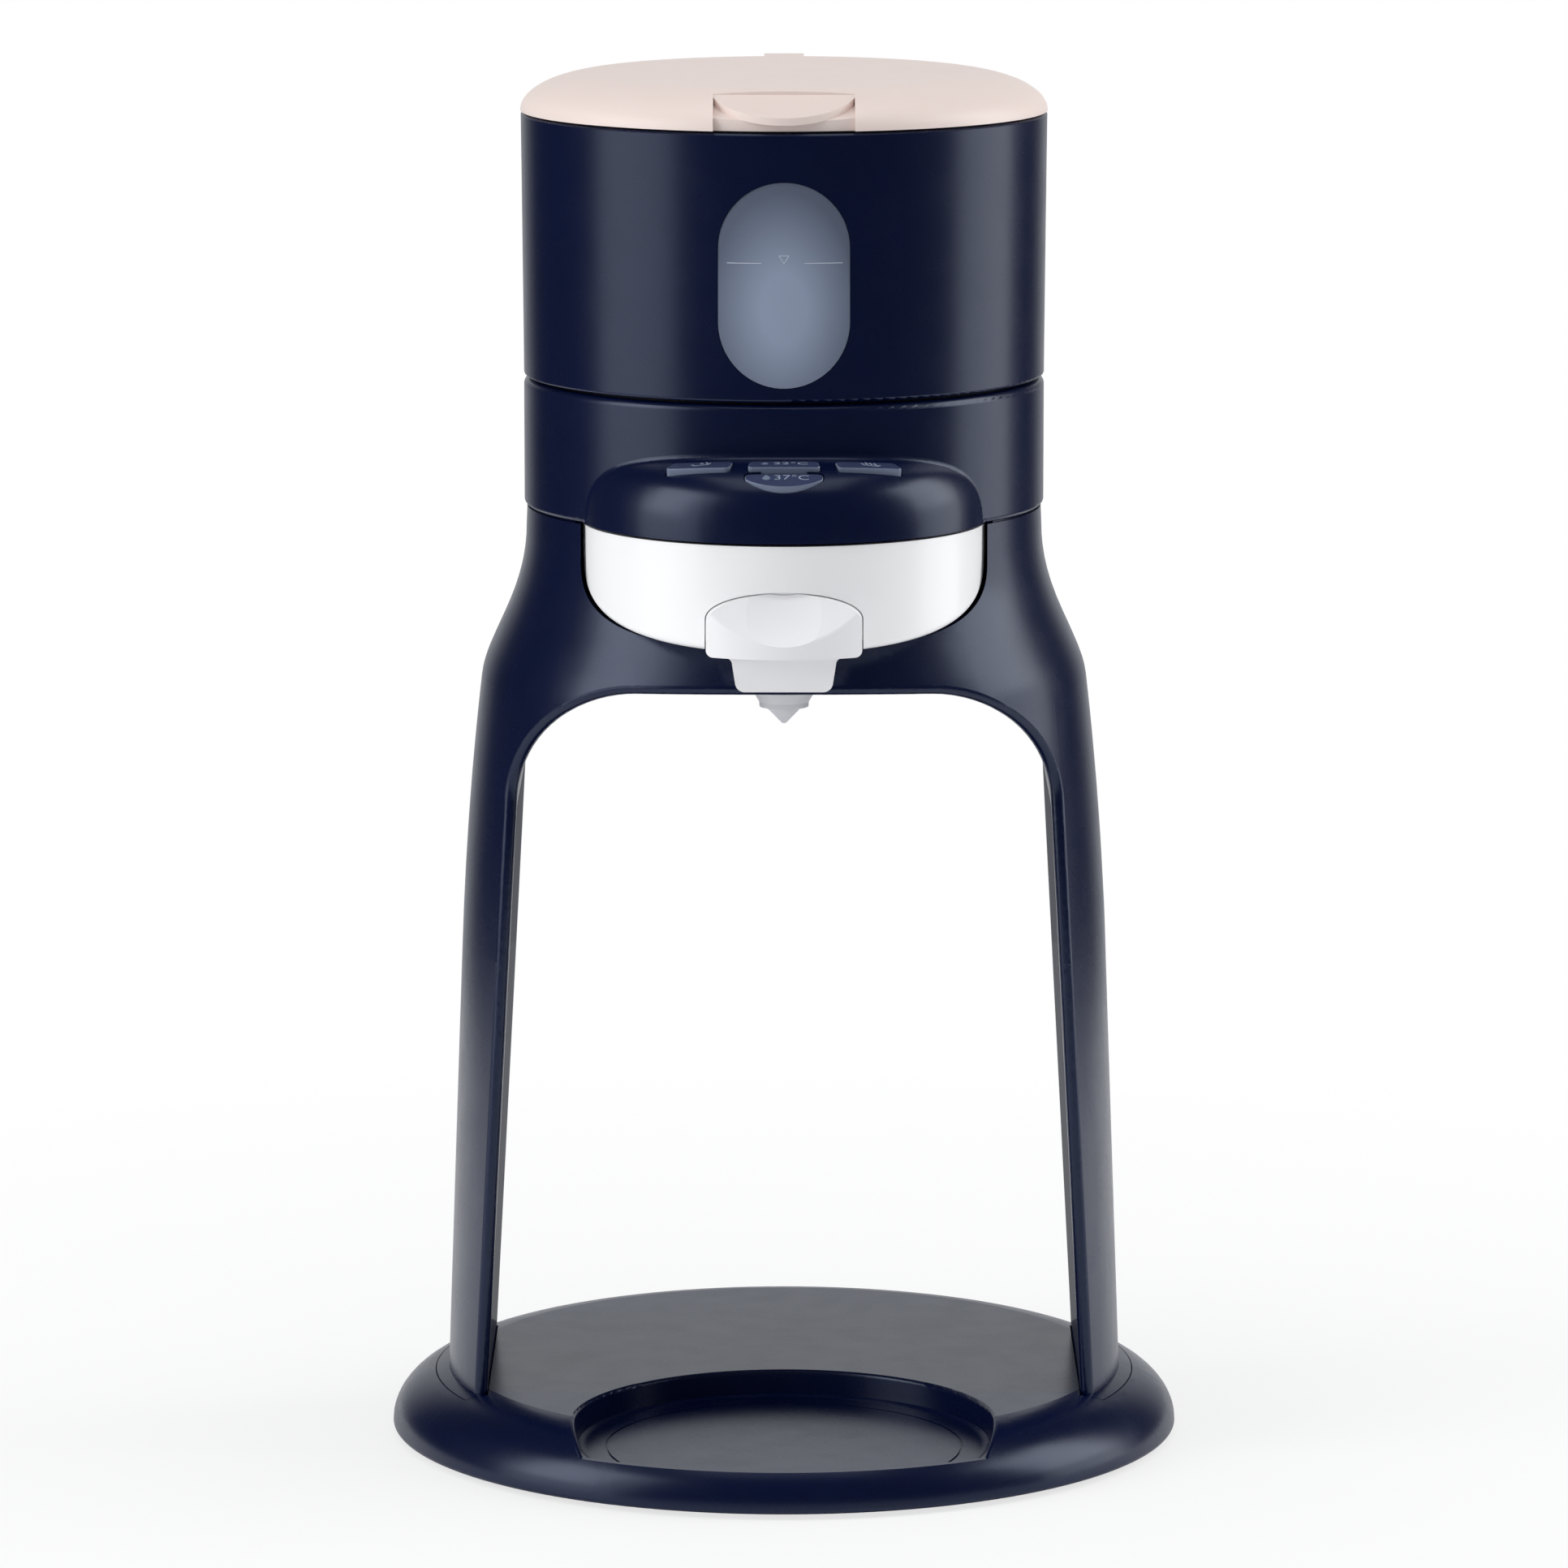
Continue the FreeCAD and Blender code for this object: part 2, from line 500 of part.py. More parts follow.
def base_shell():
    """The base moulding: plate and rim, bottle pocket, seats for the legs and bosses."""
    hollow = base_hollow()
    keep = cyl(POCKET_R + BASE_WALL, POCKET_FLOOR_Z - BASE_WALL, BIG, 0, POCKET_Y)
    hollow = hollow.cut(keep)
    pad_grow = FLANGE_GAP + BASE_WALL
    pad = leg_block(FLANGE_R + pad_grow, arch_x(BASE_PLATE_Z) - pad_grow,
                    FLANGE_HALF_D + pad_grow, LEG_SEAT_Z - BASE_WALL, BIG)
    hollow = hollow.cut([pad, mirror_x(pad)])
    for x, y in cover_screw_places():
        hollow = hollow.cut(cyl(SCREW_R + BASE_WALL, COVER_TOP_Z, BIG, x, y))
    shell = base_solid().cut(hollow)
    shell = shell.cut(cyl(COVER_R + FLANGE_GAP, 0, COVER_TOP_Z))

    floor = cyl(POCKET_R, POCKET_FLOOR_Z, BIG, 0, POCKET_Y)
    floor = floor.common(cyl(POCKET_LIP_R, POCKET_FLOOR_Z, BIG))
    floor = round_edges(floor, POCKET_FILLET, lambda e: middle(e).z < POCKET_FLOOR_Z + 0.01
                        and abs(e.BoundBox.ZLength) < 0.01
                        and math.hypot(middle(e).x, middle(e).y) < POCKET_LIP_R - 1)
    over_lip = cyl(POCKET_R, POCKET_FLOOR_Z + POCKET_LIP, BIG, 0, POCKET_Y)
    shell = shell.cut([floor, over_lip])

    def mouth(edge):
        point = middle(edge)
        on_wall = abs(math.hypot(point.x, point.y - POCKET_Y) - POCKET_R) < 0.05
        return on_wall and point.z > POCKET_FLOOR_Z + POCKET_LIP + 0.1
    shell = round_edges(shell, POCKET_EDGE_R, mouth)
    groove = tube(POCKET_MARK_R + 0.3, POCKET_MARK_R - 0.3, POCKET_FLOOR_Z - 0.3, BIG, 0, POCKET_Y)
    shell = shell.cut(groove.common(cyl(POCKET_LIP_R - 2, 0, BIG)))

    seat = leg_block(FLANGE_R + FLANGE_GAP, arch_x(BASE_PLATE_Z) - FLANGE_GAP,
                     FLANGE_HALF_D + FLANGE_GAP, LEG_SEAT_Z, BIG)
    shell = shell.cut([seat, mirror_x(seat)])
    for x, y in leg_screw_places():
        shell = shell.cut(cyl(SCREW_R + SCREW_GAP, 0, BIG, x, y))
    for x, y in cover_screw_places():
        shell = shell.cut(cyl(SCREW_R, 0, COVER_TOP_Z + 6.0, x, y))
    return shell


def base_cover():
    """The flat bottom cover, with pockets for the rubber feet and the screw heads."""
    cover = cyl(COVER_R, FOOT_PROUD, COVER_TOP_Z)
    for x, y in foot_places():
        cover = cover.cut(cyl(FOOT_PAD_R + 0.1, 0, FOOT_PROUD + FOOT_PAD_SINK, x, y))
    for x, y in cover_screw_places():
        cover = cover.cut(cyl(SCREW_R + SCREW_GAP, 0, BIG, x, y))
        cover = cover.cut(cyl(SCREW_HEAD_R + 0.3, 0, COVER_TOP_Z - 0.8, x, y))
    return cover


def rubber_feet():
    pads = []
    for x, y in foot_places():
        pad = cyl(FOOT_PAD_R, 0, FOOT_PROUD + FOOT_PAD_SINK, x, y)
        pads.append(round_edges(pad, 0.4, lambda e: e.BoundBox.ZMax < 0.01))
    return Part.makeCompound(pads)


def cover_screws():
    z = COVER_TOP_Z - 0.8
    height = COVER_TOP_Z - 0.8 - FOOT_PROUD
    heads = []
    for x, y in cover_screw_places():
        shank = cyl(SCREW_R, z, z + 6.0, x, y)
        head = cyl(SCREW_HEAD_R, z - height, z, x, y)
        slot = box(x - 1.6, x + 1.6, y - 0.35, y + 0.35, z - height, z - height / 2)
        heads.append(join(shank, head).cut(slot))
    return Part.makeCompound(heads)


def leg_screws():
    z = LEG_SEAT_Z - BASE_WALL
    return Part.makeCompound([screw(x, y, z, 9.0) for x, y in leg_screw_places()])


# ---- legs and yoke ----------------------------------------------------------------
def leg_frame():
    """The two legs and the yoke in one moulding, open at the top and hollow inside."""
    body = frame_solid(0, LEG_SEAT_Z, YOKE_TOP_Z)
    arch = arch_solid(0)
    body = body.cut(arch)

    def arch_edge(edge):
        point = middle(edge)
        if edge.BoundBox.ZLength < 1.0 or edge.BoundBox.YLength > 60:
            return False
        return arch.distToShape(Part.Vertex(point))[0] < 1e-3 and abs(point.y) > 10
    body = round_edges(body, ARCH_EDGE_R, arch_edge)

    flange = leg_block(FLANGE_R, arch_x(LEG_SEAT_Z) + 1, FLANGE_HALF_D, LEG_SEAT_Z, BIG)
    flange = flange.common(base_solid())
    body = join(body, flange, mirror_x(flange))

    hollow = frame_solid(FRAME_WALL, BASE_PLATE_Z + 3.0, YOKE_TOP_Z + 1)
    hollow = hollow.cut(arch_solid(FRAME_WALL))
    body = body.cut(hollow)
    door = drawer_outline(DOOR_CORNER_GAP, DOOR_CORNER_DROP, DRAWER_KEEL_Z - DOOR_BOTTOM_GAP, BIG)
    body = body.cut(door.along_y(-BIG, HOOD_Y))
    recess = liner_plate(LINER_GAP)
    window = box(0, BIG, 4 - LINER_HALF_D, LINER_HALF_D - 4, 24, LINER_TOP_Z - 8)
    window = window.cut(cyl(arch_x(0) - 10, 0, BIG)).common(arch_solid(FRAME_WALL + 0.5))
    body = body.cut([recess, mirror_x(recess), window, mirror_x(window)])
    body = body.cut(cyl(NOZZLE_HOLE_R, ARCH_TOP_Z - 5, ARCH_TOP_Z + 10, 0, NOZZLE_Y))
    body = body.cut(rod(V(0, 30, ENTRY_Z), V(0, BIG, ENTRY_Z), ENTRY_BORE_R + ENTRY_WALL))
    for x, y in leg_screw_places():
        body = body.cut(cyl(SCREW_R, 0, BASE_PLATE_Z + 1.5, x, y))
    return body


def liner_plate(grow):
    """The plate that closes the right leg's inner face, grown by a gap for its recess."""
    z0, z1 = BASE_PLATE_Z + 0.3 - grow, LINER_TOP_Z + grow
    outline = Outline(arch_x(z0), z0).line(arch_x(z0) + LINER_T, z0)
    outline.line(arch_x(z1) + LINER_T, z1).line(arch_x(z1), z1)
    plate = outline.along_y(-LINER_HALF_D - grow, LINER_HALF_D + grow)
    return round_edges(plate, 3.0 + grow,
                       lambda e: abs(middle(e).z - z1) < 0.01 and abs(e.BoundBox.YLength) < 0.01)


# ---- head housing -----------------------------------------------------------------
def ring_face(r_in, z0, z1, round_low, round_high):
    outline = Outline(r_in, z0).line(RING_R - round_low, z0)
    if round_low:
        s = round_low * (1 - math.sqrt(0.5))
        outline.arc(RING_R - s, z0 + s, RING_R, z0 + round_low)
    outline.line(RING_R, z1 - round_high)
    if round_high:
        s = round_high * (1 - math.sqrt(0.5))
        outline.arc(RING_R - s, z1 - s, RING_R - round_high, z1)
    return outline.line(r_in, z1)


def band_plan(angle_from, angle_to, grow):
    """A button that is part of a ring about the machine's axis, and its stem's place."""
    r0, r1 = BUTTON_BAND_R0 - grow, BUTTON_BAND_R1 + grow
    extra = math.degrees(grow / r0)
    low, high = -90 + angle_from - extra, -90 + angle_to + extra
    mid = (low + high) / 2
    inner = [V(*polar(r0, angle), 0) for angle in (low, mid, high)]
    outer = [V(*polar(r1, angle), 0) for angle in (low, mid, high)]
    wire = Part.Wire([Part.Arc(*inner).toShape(),
                      Part.LineSegment(inner[2], outer[2]).toShape(),
                      Part.Arc(outer[2], outer[1], outer[0]).toShape(),
                      Part.LineSegment(outer[0], inner[0]).toShape()])
    return wire, polar((r0 + r1) / 2, mid)


def front_plan(grow):
    """The front button: straight at the back and curved at the front."""
    half = BUTTON_FRONT_HALF_W + grow
    y0 = grow - BUTTON_FRONT_R
    y1 = -BUTTON_FRONT_R - BUTTON_FRONT_SIDE
    nose = V(0, -BUTTON_FRONT_R - BUTTON_FRONT_NOSE - grow, 0)
    wire = Part.Wire([Part.LineSegment(V(half, y0, 0), V(-half, y0, 0)).toShape(),
                      Part.LineSegment(V(-half, y0, 0), V(-half, y1, 0)).toShape(),
                      Part.Arc(V(-half, y1, 0), nose, V(half, y1, 0)).toShape(),
                      Part.LineSegment(V(half, y1, 0), V(half, y0, 0)).toShape()])
    return wire, (0.0, nose.y * 0.45 - BUTTON_FRONT_R * 0.55)


def button_plans(grow=0.0):
    """Plan outline of each button, grown by a gap, and the place of its stem."""
    return {
        "button_left": band_plan(-BUTTON_SIDE_A1, -BUTTON_SIDE_A0, grow),
        "button_middle": band_plan(-BUTTON_MID_A, BUTTON_MID_A, grow),
        "button_right": band_plan(BUTTON_SIDE_A0, BUTTON_SIDE_A1, grow),
        "button_front": front_plan(grow),
    }


def cap_prism(wire):
    """A button's plan swept along the panel's normal, corners rounded."""
    face = Part.Face(wire)
    below, long = 15.0, 35.0
    face.translate(V(0, 0, PANEL_Z) - PANEL_NORMAL * below)
    prism = face.extrude(PANEL_NORMAL * long)
    return round_edges(prism, BUTTON_CORNER_R,
                       lambda e: abs(e.BoundBox.DiagonalLength - long) < 0.01)


def panel_slab(deep, shallow, half_w, up, down):
    """A plate parallel to the button panel, between two depths below it."""
    slab = Part.makeBox(2 * half_w, up + down, deep - shallow, V(-half_w, -down, -deep))
    slab.rotate(V(0, 0, 0), V(1, 0, 0), PANEL_TILT)
    slab.translate(PANEL_POINT)
    return slab


def stem_axis(place, depth):
    """The point of a button's stem at a depth below the panel plane."""
    x, y = place
    on_plane = V(x, y, PANEL_Z - (y - PANEL_Y) * PANEL_NORMAL.y / PANEL_NORMAL.z)
    return on_plane - PANEL_NORMAL * depth


def button(name):
    """A crowned cap, as deep as the hood's surface under it, with its stem."""
    plan, place = button_plans()[name]
    y, z = (CAP_FRONT_Y, CAP_FRONT_Z) if name == "button_front" else (CAP_REAR_Y, CAP_REAR_Z)
    centre = V(0, y, z - CAP_DOME_R)
    cap = cap_prism(plan).common(Part.makeSphere(CAP_DOME_R, centre))
    cap = cap.cut(hood_solid(-CAP_ROOT, 0))
    cap = round_edges(cap, CAP_EDGE_R,
                      lambda e: abs((middle(e) - centre).Length - CAP_DOME_R) < 0.01)
    stem = rod(stem_axis(place, GUIDE_DEPTH + GUIDE_T), stem_axis(place, -5), STEM_R)
    return join(cap, stem.common(Part.makeSphere(CAP_DOME_R - 0.5, centre)))


def head_housing():
    """Ring and hood in one moulding, with the spigot that centres it in the yoke."""
    ring = ring_face(0, RING_Z0, RING_Z1, RING_EDGE_R, RING_LIP_R).spin()
    body = join(ring, hood_solid(0, RING_Z0))

    def crease(edge):
        point = middle(edge)
        on_ring = abs(math.hypot(point.x, point.y) - RING_R) < 0.05
        return on_ring and edge.BoundBox.ZLength > 3 and edge.BoundBox.XLength > 20
    body = round_edges(body, HOOD_CREASE_R, crease)

    body = body.cut([cyl(RING_IN_R, RING_Z0 - 1, BIG), hood_solid(-HOOD_WALL, RING_Z0 - 1)])
    flange = tube(RING_IN_R + 1.0, SPIGOT_R - SPIGOT_T, YOKE_TOP_Z, CHASSIS_Z)
    spigot = tube(SPIGOT_R, SPIGOT_R - SPIGOT_T, SPIGOT_Z, CHASSIS_Z)
    way = cyl(DRAWER_R + 1.5, 0, BIG, 0, HOOD_Y)
    way = join(way, box(-DRAWER_R - 1.5, DRAWER_R + 1.5, -BIG, HOOD_Y, 0, BIG))
    foot = join(flange, spigot).cut(way)
    ledge_r = RING_IN_R - DECK_LEDGE_W
    ledge = tube(RING_IN_R + 0.5, ledge_r, DECK_Z - DECK_LEDGE_T, DECK_Z)
    body = join(body, foot, ledge)
    for plan, _ in button_plans(BUTTON_GAP).values():
        body = body.cut(cap_prism(plan))
    return body


def head_chassis():
    """The plate that closes the head from below, with bosses for the deck's screws."""
    r = RING_IN_R - CHASSIS_GAP
    z1 = CHASSIS_Z + CHASSIS_T
    plate = cyl(r, CHASSIS_Z, z1)
    nose = hood_solid(-HOOD_WALL - CHASSIS_GAP, CHASSIS_Z).common(cyl(BIG, CHASSIS_Z, z1))
    plate = join(plate, nose)
    for x in (-BOARD_POST_X, BOARD_POST_X):
        post = cyl(2.5, z1 - 0.5, BIG, x, PANEL_Y + 5)
        post = post.cut(panel_slab(BOARD_DEPTH + BOARD_T, -BIG, BIG, BIG, BIG))
        plate = join(plate, post)
    for x, y in deck_screw_places():
        plate = join(plate, cyl(3.6, z1 - 0.5, DECK_Z, x, y))
        plate = plate.cut(cyl(SCREW_R, DECK_Z - 9, BIG, x, y))
    plate = plate.cut(cyl(SPRAY_R, 0, BIG, 0, SPRAY_Y))
    return plate


def spray_head():
    """The spray that washes the powder out of the bowl, set in the chassis."""
    z1 = CHASSIS_Z + CHASSIS_T
    body = join(cyl(SPRAY_R - 0.1, CHASSIS_Z - 0.6, z1, 0, SPRAY_Y),
                cyl(SPRAY_R + 2.0, z1, z1 + 1.5, 0, SPRAY_Y),
                cyl(2.4, z1 + 1.5, z1 + 5.0, 0, SPRAY_Y))
    for angle in range(0, 360, 60):
        x, y = polar(2.2, angle)
        body = body.cut(cyl(0.4, 0, z1 + 1.0, x, SPRAY_Y + y))
    return body


def mixing_gasket():
    """The silicone ring over the bowl's rim."""
    r = DRAWER_R - DRAWER_WALL
    return tube(r, r - 2.2, DRAWER_TOP_Z + 0.2, CHASSIS_Z, 0, HOOD_Y)


def deck_screw_places():
    return [polar(DECK_SCREW_R, angle) for angle in (35, 145, 215, 325)]


def head_deck():
    """The deck on which the tank stands, with its centring boss and plateau."""
    r = RING_IN_R - CHASSIS_GAP
    deck = join(cyl(r, DECK_Z, DECK_TOP_Z),
                cyl(PLATEAU_R1, DECK_TOP_Z - 0.5, TANK_Z0),
                cyl(PLATEAU_R0, TANK_Z0 - 0.5, TANK_Z0 + DECK_BOSS_H))
    deck = deck.cut(cyl(SOCKET_R + 0.1, 0, BIG, 0, VALVE_Y))
    for x, y in deck_screw_places():
        deck = deck.cut(cyl(SCREW_R + SCREW_GAP, 0, BIG, x, y))
        deck = deck.cut(cyl(SCREW_HEAD_R + 0.3, DECK_TOP_Z, BIG, x, y))
    hollow = cyl(PLATEAU_R0 - 12, 0, DECK_TOP_Z).cut(cyl(SOCKET_FLANGE_R + 2, 0, BIG, 0, VALVE_Y))
    return deck.cut(hollow)


def deck_screws():
    return Part.makeCompound([screw(x, y, DECK_TOP_Z, 8.0, -1)
                              for x, y in deck_screw_places()])


def inlet_socket():
    """The cup that takes the tank's neck, with the pin that opens its valve."""
    bore_z = SOCKET_Z0 + SOCKET_FLOOR_T
    body = join(cyl(SOCKET_R, SOCKET_Z0, SOCKET_Z1, 0, VALVE_Y),
                cyl(SOCKET_FLANGE_R, DECK_Z - 2.0, DECK_Z, 0, VALVE_Y))
    body = body.cut(cyl(SOCKET_BORE_R, bore_z, BIG, 0, VALVE_Y))
    body = body.cut(cyl(SOCKET_BORE_R + SEAL_DEPTH, SEAL_Z0, SEAL_Z0 + SEAL_T, 0, VALVE_Y))
    pin = cyl(PIN_R, bore_z - 0.5, CLIP_Z - PIN_GAP, 0, VALVE_Y)
    barb = cyl(3.0, SOCKET_Z0 - 4, SOCKET_Z0 + 0.5, 0, VALVE_Y - 5)
    body = join(body, pin, barb)
    return body.cut(cyl(1.6, SOCKET_Z0 - 5, bore_z + 1, 0, VALVE_Y - 5))


def inlet_seal():
    return tube(SOCKET_BORE_R + SEAL_DEPTH - 0.02, VALVE_NECK_R + SEAL_RUN,
                SEAL_Z0 + 0.1, SEAL_Z0 + SEAL_T - 0.1, 0, VALVE_Y)


# ---- controls ---------------------------------------------------------------------
def panel_plate(depth, thick, half_w, up, down):
    """A flat plate parallel to the button panel, trimmed to fit under the hood."""
    room = hood_solid(-HOOD_WALL - 0.15, RING_Z0).cut(cyl(BIG, 0, CHASSIS_Z + CHASSIS_T))
    return panel_slab(depth + thick, depth, half_w, up, down).common(room)


def button_guide():
    plate = panel_plate(GUIDE_DEPTH, GUIDE_T, GUIDE_HALF_W, 9.0, 7.5)
    for _, place in button_plans().values():
        plate = plate.cut(rod(stem_axis(place, 15), stem_axis(place, 0), STEM_R + STEM_GAP))
    for side in (-1, 1):
        top = stem_axis((side * 10.5, PANEL_Y + 3.5), GUIDE_DEPTH + 0.5)
        plate = join(plate, rod(top - PANEL_NORMAL * (BOARD_DEPTH - GUIDE_DEPTH - 0.5), top, 1.6))
    return plate


def control_board():
    """The control board with its four switches."""
    board = panel_plate(BOARD_DEPTH, BOARD_T, BOARD_HALF_W, 9.0, 6.5)
    height = BOARD_DEPTH - (GUIDE_DEPTH + GUIDE_T) - BUTTON_TRAVEL - SWITCH_GAP
    for _, place in button_plans().values():
        foot = stem_axis(place, BOARD_DEPTH + 0.2)
        board = join(board, rod(foot, foot + PANEL_NORMAL * (height + 0.2), 1.8))
    return board


# ---- inner parts of the head ------------------------------------------------------
def pump():
    """The small diaphragm pump, lying on the chassis on its saddle."""
    z = CHASSIS_Z + CHASSIS_T + PUMP_R + 1.0
    x, y = PUMP_X, PUMP_Y
    body = rod(V(x, y - PUMP_L / 2, z), V(x, y + PUMP_L / 2, z), PUMP_R)
    head = rod(V(x, y + PUMP_L / 2 - 9, z), V(x, y + PUMP_L / 2, z), PUMP_R + 0.9)
    saddle = box(x - 6, x + 6, y - 10, y + 4, z - PUMP_R - 1.0, z - 2)
    ports = [rod(V(x + dx, y + PUMP_L / 2 - 1, z), V(x + dx, y + PUMP_L / 2 + 4, z), 1.8)
             for dx in (-PORT_X, PORT_X)]
    return join(body, head, saddle, *ports)


def heater():
    """The flow heater: a finned cast body on two feet."""
    z = CHASSIS_Z + CHASSIS_T + HEATER_R + 1.0
    x, y = HEATER_X, 0.0
    body = rod(V(x, y - HEATER_L / 2, z), V(x, y + HEATER_L / 2, z), HEATER_R - 1.4)
    pieces = [body]
    for i in range(7):
        fin_y = y - HEATER_L / 2 + 5 + i * 5.2
        pieces.append(rod(V(x, fin_y, z), V(x, fin_y + 1.4, z), HEATER_R))
    for foot_y in (y - 13, y + 9):
        pieces.append(box(x - 5, x + 5, foot_y, foot_y + 4, z - HEATER_R - 1.0, z - 4))
    pieces.append(rod(V(x - 3, y + HEATER_L / 2 - 1, z), V(x - 3, y + HEATER_L / 2 + 4, z), 1.8))
    pieces.append(rod(V(x - 3, y - HEATER_L / 2 - 4, z), V(x - 3, y - HEATER_L / 2 + 1, z), 1.8))
    return join(*pieces)


def hose(points, r):
    """A hose of straight runs joined by tangent arcs."""
    edges = []
    at = points[0]
    for i in range(1, len(points) - 1):
        a, b, c = points[i - 1], points[i], points[i + 1]
        ab, bc = (b - a), (c - b)
        turn = ab.getAngle(bc)
        short = min(ab.Length, bc.Length) * 0.45
        u = V(ab).normalize()
        w = V(bc).normalize()
        start, end = b - u * short, b + w * short
        to_middle = (w - u).normalize()
        radius = short / math.tan(turn / 2)
        mid = b + to_middle * (radius / math.cos(turn / 2) - radius)
        if (start - at).Length > 1e-6:
            edges.append(Part.LineSegment(at, start).toShape())
        edges.append(Part.Arc(start, mid, end).toShape())
        at = end
    edges.append(Part.LineSegment(at, points[-1]).toShape())
    section = Part.Face(Part.Wire(Part.makeCircle(r, points[0], points[1] - points[0])))
    return Part.Wire(edges).makePipe(section)


def water_hoses():
    """Hoses from the socket to the pump, from the pump to the heater, and to the spray."""
    pump_z = CHASSIS_Z + CHASSIS_T + PUMP_R + 1.0
    heat_z = CHASSIS_Z + CHASSIS_T + HEATER_R + 1.0
    pump_end = PUMP_Y + PUMP_L / 2 + 4
    heat_end = HEATER_L / 2 + 4
    x_in, x_out, x_heat = PUMP_X + PORT_X, PUMP_X - PORT_X, HEATER_X - 3
    low_z = heat_z - 6
    suction = [V(0, VALVE_Y - 5, SOCKET_Z0 - 4), V(0, VALVE_Y - 5, pump_z - 2),
               V(-11, VALVE_Y - 2, pump_z - 1), V(x_in, pump_end + 4, pump_z),
               V(x_in, pump_end, pump_z)]
    feed = [V(x_out, pump_end, pump_z), V(x_out, pump_end + 4, pump_z),
            V(-24, pump_end + 15, low_z), V(10, pump_end + 17, low_z),
            V(x_heat, heat_end + 7, heat_z), V(x_heat, heat_end, heat_z)]
    spray_z = CHASSIS_Z + CHASSIS_T + 5.0
    wash = [V(x_heat, -heat_end, heat_z), V(x_heat, -heat_end - 5, heat_z),
            V(14, SPRAY_Y, heat_z + 3), V(0, SPRAY_Y, heat_z + 3), V(0, SPRAY_Y, spray_z)]
    return Part.makeCompound([hose(route, HOSE_R) for route in (suction, feed, wash)])


def power_board():
    """The mains board behind the drawer, with transformer and capacitors."""
    z0 = ARCH_TOP_Z + FRAME_WALL
    board = box(-26, 26, 30, 31.6, z0 + 0.5, z0 + 24)
    coil = box(-18, 0, 31.6, 43, z0 + 3, z0 + 17)
    pieces = [board, coil]
    for x in (7, 16):
        pieces.append(rod(V(x, 31, z0 + 10), V(x, 42, z0 + 10), 3.6))
    for x in (-22, 19):
        pieces.append(box(x, x + 3, 27, 33, z0 - 3, z0 + 6))
    return join(*pieces).cut(arch_solid(FRAME_WALL))


def cable_entry():
    """The flanged rubber bush through which the mains cable enters at the back."""
    wall_r = NECK_R + 2.2
    y1 = wall_r + 4.0
    y0 = y1 - ENTRY_LENGTH
    r = ENTRY_BORE_R + ENTRY_WALL
    bush = rod(V(0, y0, ENTRY_Z), V(0, y1 - 2.0, ENTRY_Z), r - 0.05)
    nose = Part.makeCone(r - 0.05, ENTRY_BORE_R + 1.6, 2.6, V(0, y1 - 2.6, ENTRY_Z), V(0, 1, 0))
    inner = rod(V(0, y0, ENTRY_Z), V(0, y0 + 1.8, ENTRY_Z), r + 1.4)
    bore = rod(V(0, y0 - 1, ENTRY_Z), V(0, y1 + 1, ENTRY_Z), ENTRY_BORE_R)
    return join(bush, nose, inner).cut(bore)


# ---- water tank -------------------------------------------------------------------
def tank_shell():
    """The tank's navy sleeve, with its window opening, bottom flange and hinge ears."""
    r_in0, r_in1 = TANK_R0 - TANK_WALL, TANK_R1 - TANK_WALL
    s = TANK_EDGE_R * (1 - math.sqrt(0.5))
    outline = Outline(TANK_FLANGE_R, TANK_Z0).line(TANK_R0 - TANK_EDGE_R, TANK_Z0)
    outline.arc(TANK_R0 - s, TANK_Z0 + s, TANK_R0, TANK_Z0 + TANK_EDGE_R)
    outline.line(TANK_R1, TANK_Z1 - 0.4).line(TANK_R1 - 0.4, TANK_Z1)
    outline.line(r_in1, TANK_Z1).line(r_in0, TANK_Z0 + TANK_FLANGE_T)
    outline.line(TANK_FLANGE_R, TANK_Z0 + TANK_FLANGE_T)
    shell = outline.spin()
    shell = shell.cut(window_solid(0, -TANK_FLANGE_R))
    x0 = KNUCKLE_HALF_W + EAR_GAP
    for side in (-1, 1):
        ear = hinge_lug(x0, x0 + EAR_W, TANK_Z1 - 6)
        shell = join(shell, ear if side > 0 else mirror_x(ear))
    clear = rod(V(-x0 - EAR_W - 1, HINGE_Y, HINGE_Z), V(x0 + EAR_W + 1, HINGE_Y, HINGE_Z),
                HINGE_PIN_R)
    shell = shell.cut(clear)
    return shell.cut(box(-x0, x0, HINGE_Y - KNUCKLE_R - 0.6, BIG,
                         HINGE_Z - KNUCKLE_R - 0.5, BIG))


def hinge_lug(x0, x1, z_low):
    """A lug round the hinge axis that runs down to a height on the tank's wall."""
    eye = rod(V(x0, HINGE_Y, HINGE_Z), V(x1, HINGE_Y, HINGE_Z), KNUCKLE_R)
    web = box(x0, x1, HINGE_Y - 1.0, HINGE_Y + KNUCKLE_R, z_low + 3, HINGE_Z)
    root = box(x0, x1, HINGE_Y - 1.0, HINGE_Y + KNUCKLE_R, z_low, HINGE_Z)
    slope = rod(V(x0 - 1, HINGE_Y + KNUCKLE_R + 1.2, z_low - 1.0),
                V(x1 + 1, HINGE_Y + KNUCKLE_R + 1.2, z_low - 1.0), 4.2)
    return join(eye, web, root).cut(slope)


